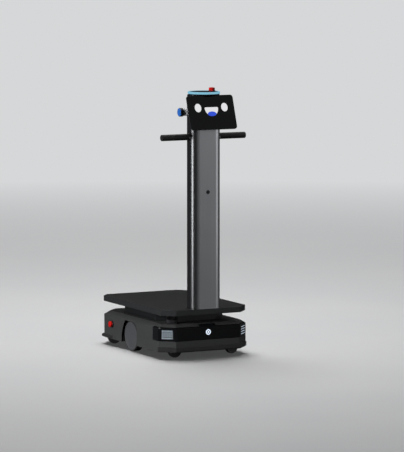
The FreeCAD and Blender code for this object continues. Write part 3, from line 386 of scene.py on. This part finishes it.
def lit(name, colour, strength, unevenness=0.0, base=0.08):
    """Lit diffuser: its own light with a faint unevenness."""
    material, tree, shader = new_material(name)
    smear = place_group(tree, "marks", Roughness=0.3, Amount=0.05)
    tree.links.new(smear.outputs["Roughness"], shader.inputs["Roughness"])
    cloud = spread(tree, noise(tree, object_point(tree), 30.0, 2.0), 0.3, 0.7, 1.0 - unevenness, 1.0)
    tree.links.new(scaled(tree, colour[:3], cloud), shader.inputs["Emission Color"])
    shader.inputs["Base Color"].default_value = tuple(channel * base for channel in colour[:3]) + (1.0,)
    shader.inputs["Emission Strength"].default_value = strength
    return material


MATERIALS = {
    "body_grey": moulded("body_grey", srgb(60, 61, 61), 0.44, grain=1100.0, bump=0.22, cloud=0.06, dust=0.05),
    "window_black": glossy("window_black", srgb(17, 18, 20), 0.12, specular=0.3, coat=0.15),
    "bumper_black": moulded("bumper_black", srgb(42, 42, 43), 0.55, grain=1600.0, bump=0.3, dust=0.08),
    "chassis_steel": metal("chassis_steel", srgb(150, 152, 155), 0.38, stretch=(5, 300, 300)),
    "tray_black": moulded("tray_black", srgb(34, 34, 35), 0.6, grain=900.0, bump=0.35, dust=0.12),
    "led_white": glossy("led_white", srgb(20, 22, 26), 0.15, specular=0.3),
    "battery_case": moulded("battery_case", srgb(40, 42, 45), 0.5),
    "controller_case": metal("controller_case", srgb(150, 151, 154), 0.4, stretch=(200, 5, 200)),
    "contact_copper": moulded("contact_copper", srgb(26, 26, 27), 0.45),
    "pedestal_black": moulded("pedestal_black", srgb(24, 25, 26), 0.4, grain=1200.0, dust=0.03, wear_and_highlight=0.2),
    "scanner_black": moulded("scanner_black", srgb(38, 38, 40), 0.38, grain=1500.0, dust=0.04),
    "scanner_window": glossy("scanner_window", srgb(14, 10, 14), 0.06, specular=0.5, coat=0.4),
    "deck_grey": moulded("deck_grey", srgb(44, 45, 46), 0.34, grain=1000.0, bump=0.2, dust=0.05, wear_and_highlight=0.25),
    "deck_mat": moulded("deck_mat", srgb(30, 30, 32), 0.42, grain=1300.0, bump=0.3, cloud=0.05, dust=0.03),
    "column_aluminium": metal(
        "column_aluminium", srgb(182, 184, 187), 0.3,
        stretch=(900, 900, 3), strength=0.1, bump=0.02, rounded=False,
    ),
    "column_black": moulded("column_black", srgb(26, 26, 28), 0.4, grain=1300.0, dust=0.03, wear_and_highlight=0.2),
    "cast_shoe": moulded("cast_shoe", srgb(80, 80, 82), 0.6, grain=500.0, bump=0.6),
    "button_steel": metal("button_steel", srgb(70, 71, 74), 0.3, stretch=(400, 400, 400)),
    "tube_steel": metal("tube_steel", srgb(160, 162, 165), 0.25, stretch=(4, 500, 500)),
    "grip_black": moulded(
        "grip_black", srgb(29, 29, 31), 0.62, grain=2200.0, bump=0.55, cloud=0.12, dust=0.04
    ),
    "display_black": glossy("display_black", srgb(14, 15, 17), 0.1, marks=0.05, specular=0.15),
    "display_case": moulded("display_case", srgb(30, 30, 32), 0.4, grain=1500.0, dust=0.03),
    "head_black": glossy("head_black", srgb(22, 25, 29), 0.16, specular=0.4, coat=0.2),
    "ring_cyan": lit("ring_cyan", srgb(134, 198, 222), 0.85, unevenness=0.06),
    "stop_cup": moulded("stop_cup", srgb(24, 24, 25), 0.4, grain=1800.0, dust=0.03),
    "stop_red": glossy("stop_red", srgb(190, 26, 22), 0.36, marks=0.1, specular=0.3),
    "call_silver": metal("call_silver", srgb(240, 242, 244), 0.4, stretch=(500, 40, 40), metallic=0.1),
    "call_black": moulded("call_black", srgb(20, 20, 22), 0.35, grain=1800.0, dust=0.02),
    "call_blue": glossy("call_blue", srgb(40, 96, 176), 0.34, marks=0.08, specular=0.5),
    "hub_grey": moulded(
        "hub_grey", srgb(74, 75, 78), 0.36, grain=1400.0, bump=0.12, cloud=0.05, dust=0.08, wear_and_highlight=0.35
    ),
    "tyre_black": moulded("tyre_black", srgb(38, 38, 39), 0.68, grain=700.0, bump=0.5, cloud=0.15, dust=0.22),
    "motor_steel": moulded("motor_steel", srgb(58, 59, 62), 0.4),
    "caster_steel": metal("caster_steel", srgb(178, 180, 184), 0.3, stretch=(60, 60, 200), strength=0.2),
    "caster_rubber": moulded("caster_rubber", srgb(34, 34, 36), 0.34, grain=800.0, bump=0.2, dust=0.12),
}


def dress_nodes():
    """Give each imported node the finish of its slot."""
    for entry in frame["record"]["subparts"]:
        node = frame["nodes"][entry["node"]]
        material = MATERIALS[entry["material_slot"]]
        node.data.materials.clear()
        node.data.materials.append(material)


# ---------------------------------------------------------------- mesh helpers
SHARP_ANGLE = math.radians(35)
POINT_RADIUS = 1e-7
SCREW_SEGMENTS = 24
OVAL_POINTS = 48
CREST_SHARE = 0.93


def facing(place, axis):
    """Matrix of a place whose +Z looks along an axis."""
    return Matrix.Translation(place) @ axis.to_track_quat("Z", "Y").to_matrix().to_4x4()


def corners(box):
    """Low and high corner of a box, as vectors."""
    low, high = box
    return Vector(low), Vector(high)


def angles_round(count):
    return [2 * math.pi * i / count for i in range(count)]


def finish_piece(name, bm, material, body):
    """Mesh object from a bmesh, riding on a body."""
    bmesh.ops.recalc_face_normals(bm, faces=bm.faces)
    mesh = bpy.data.meshes.new(name)
    bm.to_mesh(mesh)
    bm.free()
    mesh.materials.append(material)
    mesh.shade_smooth()
    mesh.set_sharp_from_angle(angle=SHARP_ANGLE)
    piece = bpy.data.objects.new(name, mesh)
    bpy.context.scene.collection.objects.link(piece)
    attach(piece, body)


def bridge(bm, lower, upper):
    """Faces between two rings; a ring of one vertex is the tip of a cone."""
    count = max(len(lower), len(upper))
    for i in range(count):
        j = (i + 1) % count
        if len(lower) == 1:
            bm.faces.new((lower[0], upper[j], upper[i]))
        elif len(upper) == 1:
            bm.faces.new((lower[i], lower[j], upper[0]))
        else:
            bm.faces.new((lower[i], lower[j], upper[j], upper[i]))


def add_lathe(bm, profile, centre, axis, segments):
    """Turned form: profile pairs are (along the axis, radius); a tube ends on its first pair."""
    matrix = facing(centre, axis)
    rings = []
    for along, radius in profile:
        if radius < POINT_RADIUS:
            points = [(0, 0)]
        else:
            points = [
                (radius * math.cos(angle), radius * math.sin(angle))
                for angle in angles_round(segments)
            ]
        rings.append([bm.verts.new(matrix @ Vector((x, y, along))) for x, y in points])
    for lower, upper in zip(rings, rings[1:]):
        bridge(bm, lower, upper)


def add_screw(bm, place, axis, radius, height=1.5 * MM):
    """Button head with a hexagon socket sunk in it."""
    matrix = facing(place, axis)

    def ring(reach, along, hexagon=False):
        made = []
        for angle in angles_round(SCREW_SEGMENTS):
            distance = reach
            if hexagon:
                within = (angle % (math.pi / 3)) - math.pi / 6
                distance = reach * math.cos(math.pi / 6) / math.cos(within)
            point = Vector((distance * math.cos(angle), distance * math.sin(angle), along))
            made.append(bm.verts.new(matrix @ point))
        return made

    socket = radius * 0.5
    rings = [
        ring(radius, 0.0),
        ring(radius, height * 0.5),
        ring(radius * 0.86, height),
        ring(socket, height, hexagon=True),
        ring(socket, height * 0.25, hexagon=True),
    ]
    for lower, upper in zip(rings, rings[1:]):
        bridge(bm, lower, upper)
    bm.faces.new(rings[-1])
    bm.faces.new(list(reversed(rings[0])))


def add_plate(bm, outline, thickness, matrix, crown):
    """Flat plate from an outline in its own plane, with a slightly crowned front."""
    middle_x = sum(x for x, y in outline) / len(outline)
    middle_y = sum(y for x, y in outline) / len(outline)
    crest = [
        (middle_x + (x - middle_x) * CREST_SHARE, middle_y + (y - middle_y) * CREST_SHARE)
        for x, y in outline
    ]
    low, high, inner = (
        [bm.verts.new(matrix @ Vector((x, y, level))) for x, y in points]
        for points, level in ((outline, 0), (outline, thickness), (crest, thickness + crown))
    )
    bridge(bm, low, high)
    bridge(bm, high, inner)
    bm.faces.new(inner)
    bm.faces.new(list(reversed(low)))


def oval(half_x, half_y):
    return [(half_x * math.cos(angle), half_y * math.sin(angle)) for angle in angles_round(OVAL_POINTS)]


# ---------------------------------------------------------------- lights on the base
LED_COLUMNS = 5
LED_ROWS = 4
LED_PITCH = 12.2 * MM
LED_HALF = 2.4 * MM
LED_SQUARENESS = 0.7
LED_OUTLINE_POINTS = 16
LED_LENS_OUT = 1.75 * MM
LED_LENS_THICKNESS = 0.15 * MM

# Pairs of (along the axis, share of the lamp's radius).
STATUS_RING = ((0.0, 0.52), (0.4 * MM, 0.56), (0.4 * MM, 0.78), (0.0, 0.82), (0.0, 0.52))
STATUS_POINT = ((0.0, 0.0), (0.0, 0.3), (0.4 * MM, 0.26), (0.5 * MM, 0.0))


def led_outline():
    """Square with soft corners."""
    points = []
    for angle in angles_round(LED_OUTLINE_POINTS):
        reach = LED_HALF / max(abs(math.cos(angle)), abs(math.sin(angle))) ** LED_SQUARENESS
        points.append((reach * math.cos(angle), reach * math.sin(angle)))
    return points


def led_lenses(material):
    """Rounded glowing lens over each lamp of the two corner matrices."""
    outline = led_outline()
    for word, sign in SIDES.items():
        bm = bmesh.new()
        normal = Vector((sign, -1, 0)).normalized()
        across = Vector((1, sign, 0)).normalized()
        low, high = corners(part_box(word + "_led_matrix"))
        centre = (low + high) / 2
        for column in range(LED_COLUMNS):
            for row in range(LED_ROWS):
                shift = (column - (LED_COLUMNS - 1) / 2) * LED_PITCH
                rise = (row - (LED_ROWS - 1) / 2) * LED_PITCH
                place = centre + across * shift + Z_AXIS * rise + normal * LED_LENS_OUT
                add_plate(bm, outline, LED_LENS_THICKNESS, facing(place, normal), LED_LENS_THICKNESS)
        finish_piece(word + "_led_lenses", bm, material, "base")


def status_glow(material):
    """Round lamp face with a bright ring and a centre point."""
    bm = bmesh.new()
    low, high = corners(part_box("status_light"))
    radius = (high.z - low.z) / 2
    face = (low + high) / 2
    face.y = low.y
    for shares, segments in ((STATUS_RING, 48), (STATUS_POINT, 32)):
        add_lathe(bm, [(along, radius * share) for along, share in shares], face, -Y_AXIS, segments)
    finish_piece("status_glow", bm, material, "base")


# ---------------------------------------------------------------- display face
DISPLAY_TILT = math.radians(19.0)
DISPLAY_HEIGHT = 177 * MM
FACE_PROUD = 0.05 * MM
FACE_THICKNESS = 0.2 * MM
FACE_CROWN = 0.1 * MM
EYE_SIDE = 74 * MM
EYE_UP = 113 * MM
EYE_HALF_WIDTH = 18 * MM
EYE_HALF_HEIGHT = 22 * MM
SMILE_UP = 110 * MM
SMILE_HALF_WIDTH = 37.5 * MM
SMILE_DEPTH = 39 * MM
SMILE_CORNER = 5.0 * MM
SMILE_STEPS = 24
CORNER_STEPS = 7
LIP_UP = 81 * MM
LIP_HALF_WIDTH = 24 * MM
LIP_HALF_HEIGHT = 12 * MM
LIP_THICKNESS = 0.35 * MM


def on_display(across, up):
    """Matrix of a point on the glass, with +Z out of the glass."""
    low, high = corners(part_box("display_housing"))
    out = Vector((0, -math.cos(DISPLAY_TILT), math.sin(DISPLAY_TILT)))
    along = Vector((0, math.sin(DISPLAY_TILT), math.cos(DISPLAY_TILT)))
    foot = Vector(((low.x + high.x) / 2, low.y, high.z - DISPLAY_HEIGHT * math.cos(DISPLAY_TILT)))
    place = foot + X_AXIS * across + along * up + out * FACE_PROUD
    basis = Matrix((X_AXIS, along, out)).transposed().to_4x4()
    return Matrix.Translation(place) @ basis


def half_round(half, depth, corner):
    """Flat top with rounded corners, and a full round below."""
    points = []
    for i in range(SMILE_STEPS + 1):
        angle = math.pi + math.pi * i / SMILE_STEPS
        points.append((half * math.cos(angle), depth * math.sin(angle)))
    quarter = math.pi / 2
    for side, start, first in ((1, 0.0, 1), (-1, quarter, 0)):
        for i in range(first, first + CORNER_STEPS):
            angle = start + quarter * i / CORNER_STEPS
            points.append((side * (half - corner) + corner * math.cos(angle), corner * math.sin(angle)))
    return points


def display_face(white, blue):
    """Plain friendly face: two oval eyes, an open smile and its blue lower lip."""
    eye = oval(EYE_HALF_WIDTH, EYE_HALF_HEIGHT)
    smile = half_round(SMILE_HALF_WIDTH, SMILE_DEPTH, SMILE_CORNER)
    lip = oval(LIP_HALF_WIDTH, LIP_HALF_HEIGHT)
    features = (
        ("left_eye_light", eye, -EYE_SIDE, EYE_UP, FACE_THICKNESS, white, "led_white"),
        ("right_eye_light", eye, EYE_SIDE, EYE_UP, FACE_THICKNESS, white, "led_white"),
        ("smile_light", smile, 0, SMILE_UP, FACE_THICKNESS, white, "led_white"),
        ("lip_light", lip, 0, LIP_UP, LIP_THICKNESS, blue, "call_blue"),
    )
    for name, outline, across, up, thickness, material, slot in features:
        bm = bmesh.new()
        add_plate(bm, outline, thickness, on_display(across, up), FACE_CROWN)
        finish_piece(name, bm, material, "base")


# ---------------------------------------------------------------- small fasteners and trims
HUB_SCREWS = 6
HUB_SCREW_CIRCLE = 68 * MM
HUB_SCREW_SUNK = 2.0 * MM
HUB_SCREW_RADIUS = 1.9 * MM

COLLAR_SCREW_INSET = 4.2 * MM
COLLAR_SCREW_SUNK = 0.35 * MM
COLLAR_SCREW_DROP = 3 * MM
COLLAR_SCREW_RADIUS = 3.0 * MM

COLUMN_SCREW_ROWS = 7
COLUMN_SCREW_INSET = 14 * MM
COLUMN_SCREW_RADIUS = 3.2 * MM

CASTER_PLATE_THICKNESS = 4 * MM
CASTER_BOLT_X = 27 * MM
CASTER_BOLT_Y = 36 * MM
CASTER_BOLT_RADIUS = 4.5 * MM
CASTER_BOLT_HEIGHT = 3 * MM

STRIP_SIDE = 30 * MM
STRIP_HALF_WIDTH = 17.4 * MM
STRIP_HALF_HEIGHT = 8.4 * MM
STRIP_SQUARENESS = 0.3
STRIP_OUTLINE_POINTS = 32
STRIP_SUNK = 1.5 * MM
STRIP_THICKNESS = 1.6 * MM
STRIP_CROWN = 0.2 * MM

LID_SLOPE = math.atan2(18.0, 30.0)
CAMERA_RAISE = 1.5 * MM
LENS_SIDE = 26 * MM
LENS_SEGMENTS = 28
LENS_RIM = (
    (-1 * MM, 3.6 * MM),
    (0.5 * MM, 3.6 * MM),
    (0.5 * MM, 5.0 * MM),
    (-1 * MM, 5.0 * MM),
    (-1 * MM, 3.6 * MM),
)
LENS_GLASS = ((-1 * MM, 0.0), (-1 * MM, 3.5 * MM), (0.1 * MM, 3.5 * MM), (0.4 * MM, 0.0))


def hub_screws(material):
    """Screws sunk in the face of each drive wheel."""
    for word, sign in SIDES.items():
        bm = bmesh.new()
        low, high = corners(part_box(word + "_hub"))
        centre = (low + high) / 2
        face = low.x if sign < 0 else high.x
        for i in range(HUB_SCREWS):
            angle = 2 * math.pi * (i + 0.5) / HUB_SCREWS
            place = Vector((
                face - sign * HUB_SCREW_SUNK,
                centre.y + HUB_SCREW_CIRCLE * math.cos(angle),
                centre.z + HUB_SCREW_CIRCLE * math.sin(angle),
            ))
            add_screw(bm, place, X_AXIS * sign, HUB_SCREW_RADIUS)
        finish_piece(word + "_hub_screws", bm, material, word + "_wheel")


def collar_screws(material):
    """Bright clamp screw in the front of each handlebar collar."""
    bm = bmesh.new()
    low, high = corners(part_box("handle_collars"))
    centre = (low + high) / 2
    for sign in SIDES.values():
        place = Vector((
            (high.x - COLLAR_SCREW_INSET) * sign,
            low.y + COLLAR_SCREW_SUNK,
            centre.z - COLLAR_SCREW_DROP,
        ))
        add_screw(bm, place, -Y_AXIS, COLLAR_SCREW_RADIUS)
    finish_piece("collar_screws", bm, material, "base")


def column_screws(material):
    """Screws down both edges of the rear channel."""
    bm = bmesh.new()
    low, high = corners(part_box("column_rear"))
    for sign in SIDES.values():
        for i in range(COLUMN_SCREW_ROWS):
            z = low.z + (high.z - low.z) * (i + 0.5) / COLUMN_SCREW_ROWS
            place = Vector((sign * (high.x - COLUMN_SCREW_INSET), high.y, z))
            add_screw(bm, place, Y_AXIS, COLUMN_SCREW_RADIUS)
    finish_piece("column_screws", bm, material, "base")


def caster_bolts(material):
    """Four bolts under each caster plate."""
    plate_bottom = Vector(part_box("caster_plates")[1]).z - CASTER_PLATE_THICKNESS
    for corner in CORNERS:
        joint = next(j for j in frame["joints"] if j["name"] == corner + "_caster_swivel")
        kingpin = Vector(joint["pos_m"])
        bm = bmesh.new()
        for dx in (-CASTER_BOLT_X, CASTER_BOLT_X):
            for dy in (-CASTER_BOLT_Y, CASTER_BOLT_Y):
                place = Vector((kingpin.x + dx, kingpin.y + dy, plate_bottom))
                add_screw(bm, place, -Z_AXIS, CASTER_BOLT_RADIUS, CASTER_BOLT_HEIGHT)
        finish_piece(corner + "_caster_bolts", bm, material, "base")


def strip_outline():
    """Oblong with soft corners."""
    points = []
    for angle in angles_round(STRIP_OUTLINE_POINTS):
        cosine = math.copysign(abs(math.cos(angle)) ** STRIP_SQUARENESS, math.cos(angle))
        sine = math.copysign(abs(math.sin(angle)) ** STRIP_SQUARENESS, math.sin(angle))
        points.append((STRIP_HALF_WIDTH * cosine, STRIP_HALF_HEIGHT * sine))
    return points


def contact_strips(material):
    """Copper faces on the charging contacts."""
    bm = bmesh.new()
    low, high = corners(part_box("charge_contacts"))
    centre = (low + high) / 2
    outline = strip_outline()
    for sign in SIDES.values():
        place = Vector((centre.x + sign * STRIP_SIDE, high.y - STRIP_SUNK, centre.z))
        add_plate(bm, outline, STRIP_THICKNESS, facing(place, Y_AXIS), STRIP_CROWN)
    finish_piece("copper_strips", bm, material, "base")


def camera_lenses(glass, rim):
    """Two small lenses with dark rims in the front camera window."""
    low, high = corners(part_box("front_camera"))
    surface = (low + high) / 2 + Z_AXIS * CAMERA_RAISE
    normal = Vector((0, -math.sin(LID_SLOPE), math.cos(LID_SLOPE)))
    for name, material, profile in (("camera_rims", rim, LENS_RIM), ("camera_glass", glass, LENS_GLASS)):
        bm = bmesh.new()
        for sign in SIDES.values():
            add_lathe(bm, profile, surface + X_AXIS * sign * LENS_SIDE, normal, LENS_SEGMENTS)
        finish_piece(name, bm, material, "base")


# ---------------------------------------------------------------- studio
BACKDROP = srgb(214, 215, 216)
FLOOR_PALE = srgb(218, 219, 220)
FLOOR_PALER = srgb(224, 224, 224)
FLOOR_BOUNCE = srgb(64, 65, 66)
FLOOR_GLOW = 0.08
FLOOR_HALF = 30.0
FLOOR_DROP = 0.0005
FADE_START = 17.5
FADE_END = 26.0

BRIGHT_SIDE = (0.64, -0.77, 0.0)
BRIGHT_FROM = 0.25
DIM_GLOSS = 0.04
BRIGHT_GLOSS = 0.95
SOFT_FILL = 0.05

LAMP_TARGET = Vector((0, 0, 0.7))
# Name, place, size, power, reached by diffuse rays, reached by glossy rays.
LAMPS = (
    ("key_lamp", Vector((-4.3, -1.25, 1.5)), 1.6, 225.0, True, False),
    ("rim_lamp", Vector((-2.95, 0.55, 0.7)), 1.5, 11.0, False, True),
    ("edge_lamp", Vector((2.5, -2.4, 0.6)), 1.4, 4.0, False, True),
    ("fill_lamp", Vector((3.4, -4.6, 2.4)), 2.4, 2.0, True, True),
    ("back_lamp", Vector((3.8, 2.8, 2.2)), 2.4, 130.0, True, False),
    ("top_lamp", Vector((0.2, 0.9, 4.4)), 2.6, 90.0, True, True),
    ("floor_lamp", Vector((0.0, 2.0, 8.0)), 5.0, 330.0, True, False),
)
ON_PIECES_ONLY = ("key_lamp", "rim_lamp", "edge_lamp", "back_lamp")
ON_FLOOR_ONLY = ("floor_lamp",)

CAMERA_PLACE = Vector((-7.3013, -14.6118, 2.3560))
CAMERA_AZIMUTH = math.radians(-27.009)
CAMERA_ELEVATION = math.radians(6.010)
CAMERA_LENS = 254.87
CAMERA_SENSOR = 36.0
CAMERA_CLIP = (0.5, 200.0)


def add_floor():
    """Pale floor that fades into the backdrop for the camera and stays dark for all other rays."""
    mesh = bpy.data.meshes.new("floor")
    bm = bmesh.new()
    bmesh.ops.create_grid(bm, x_segments=1, y_segments=1, size=FLOOR_HALF)
    bm.to_mesh(mesh)
    bm.free()
    floor = bpy.data.objects.new("floor", mesh)
    floor.location.z = -FLOOR_DROP
    bpy.context.scene.collection.objects.link(floor)
    material, tree, shader = new_material("floor_finish")
    tone = spread(tree, noise(tree, object_point(tree), 0.7, 3.0), 0.3, 0.7)
    pale = blended(tree, tone, FLOOR_PALE, FLOOR_PALER)
    seen = tree.nodes.new("ShaderNodeLightPath").outputs["Is Camera Ray"]
    tree.links.new(blended(tree, seen, FLOOR_BOUNCE, pale), shader.inputs["Base Color"])
    shader.inputs["Roughness"].default_value = 0.55
    shader.inputs["Specular IOR Level"].default_value = 0.25
    shader.inputs["Emission Color"].default_value = BACKDROP
    tree.links.new(sums(tree, "MULTIPLY", seen, FLOOR_GLOW), shader.inputs["Emission Strength"])
    distance = tree.nodes.new("ShaderNodeCameraData").outputs["View Distance"]
    fade = sums(tree, "MULTIPLY", spread(tree, distance, FADE_START, FADE_END), seen)
    backdrop = add_node(tree, "ShaderNodeEmission", Color=BACKDROP)
    both = tree.nodes.new("ShaderNodeMixShader")
    tree.links.new(fade, both.inputs[0])
    tree.links.new(shader.outputs[0], both.inputs[1])
    tree.links.new(backdrop.outputs[0], both.inputs[2])
    tree.links.new(both.outputs[0], tree.nodes["Material Output"].inputs["Surface"])
    mesh.materials.append(material)
    return floor


def add_world():
    """Plain backdrop for the camera, one bright side for reflections, and a dim fill."""
    world = bpy.data.worlds.new("studio")
    bpy.context.scene.world = world
    world.use_nodes = True
    tree = world.node_tree
    background = tree.nodes["Background"]
    background.inputs["Color"].default_value = BACKDROP
    direction = tree.nodes.new("ShaderNodeTexCoord").outputs["Generated"]
    towards = add_node(tree, "ShaderNodeVectorMath", operation="DOT_PRODUCT")
    tree.links.new(direction, towards.inputs[0])
    towards.inputs[1].default_value = BRIGHT_SIDE
    around = spread(tree, towards.outputs["Value"], BRIGHT_FROM, 1.0, DIM_GLOSS, BRIGHT_GLOSS)
    path = tree.nodes.new("ShaderNodeLightPath")
    gloss = sums(tree, "MULTIPLY", path.outputs["Is Glossy Ray"], around)
    unseen = sums(tree, "MAXIMUM", gloss, SOFT_FILL)
    strength = sums(tree, "MAXIMUM", path.outputs["Is Camera Ray"], unseen)
    tree.links.new(strength, background.inputs["Strength"])


def add_lamps(floor):
    """Soft lamps; some light only the pieces, one only the floor."""
    pieces = bpy.data.collections.new("lit_pieces")
    ground = bpy.data.collections.new("lit_ground")
    for piece in bpy.context.scene.objects:
        if piece.type == "MESH":
            (ground if piece == floor else pieces).objects.link(piece)
    receivers = {name: pieces for name in ON_PIECES_ONLY} | {name: ground for name in ON_FLOOR_ONLY}
    for name, place, size, power, diffuse_rays, glossy_rays in LAMPS:
        data = bpy.data.lights.new(name, "AREA")
        data.shape = "DISK"
        data.size = size
        data.energy = power
        lamp = bpy.data.objects.new(name, data)
        lamp.location = place
        lamp.rotation_mode = "QUATERNION"
        lamp.rotation_quaternion = (place - LAMP_TARGET).to_track_quat("Z", "Y")
        lamp.visible_diffuse = diffuse_rays
        lamp.visible_glossy = glossy_rays
        lamp.light_linking.receiver_collection = receivers.get(name)
        bpy.context.scene.collection.objects.link(lamp)


def add_camera():
    data = bpy.data.cameras.new("camera")
    data.lens = CAMERA_LENS
    data.sensor_width = CAMERA_SENSOR
    data.clip_start, data.clip_end = CAMERA_CLIP
    camera = bpy.data.objects.new("camera", data)
    back = Vector((
        math.sin(CAMERA_AZIMUTH) * math.cos(CAMERA_ELEVATION),
        -math.cos(CAMERA_AZIMUTH) * math.cos(CAMERA_ELEVATION),
        math.sin(CAMERA_ELEVATION),
    ))
    camera.location = CAMERA_PLACE
    camera.rotation_mode = "QUATERNION"
    camera.rotation_quaternion = back.to_track_quat("Z", "Y")
    bpy.context.scene.collection.objects.link(camera)
    bpy.context.scene.camera = camera


def main():
    bpy.context.scene.view_settings.view_transform = "Standard"
    dress_nodes()
    white_light = lit("lamp_white", srgb(226, 240, 255), 1.0, base=0.6)
    face_white = lit("face_white", srgb(238, 238, 240), 0.85)
    lip_blue = lit("lip_blue", srgb(40, 80, 225), 0.8)
    steel = metal("screw_steel", srgb(190, 191, 194), 0.25, stretch=(300, 300, 300))
    dark_steel = metal("screw_black", srgb(60, 61, 63), 0.35, stretch=(300, 300, 300))
    copper = metal("copper", srgb(196, 122, 78), 0.3, stretch=(5, 300, 300))
    lens_glass = glossy("lens_glass", srgb(24, 22, 40), 0.04, coat=0.8)
    lens_rim = metal("lens_rim", srgb(52, 53, 56), 0.35, stretch=(300, 300, 300))
    led_lenses(white_light)
    status_glow(white_light)
    display_face(face_white, lip_blue)
    hub_screws(dark_steel)
    collar_screws(steel)
    column_screws(dark_steel)
    caster_bolts(steel)
    contact_strips(copper)
    camera_lenses(lens_glass, lens_rim)
    floor = add_floor()
    add_world()
    add_lamps(floor)
    add_camera()


main()
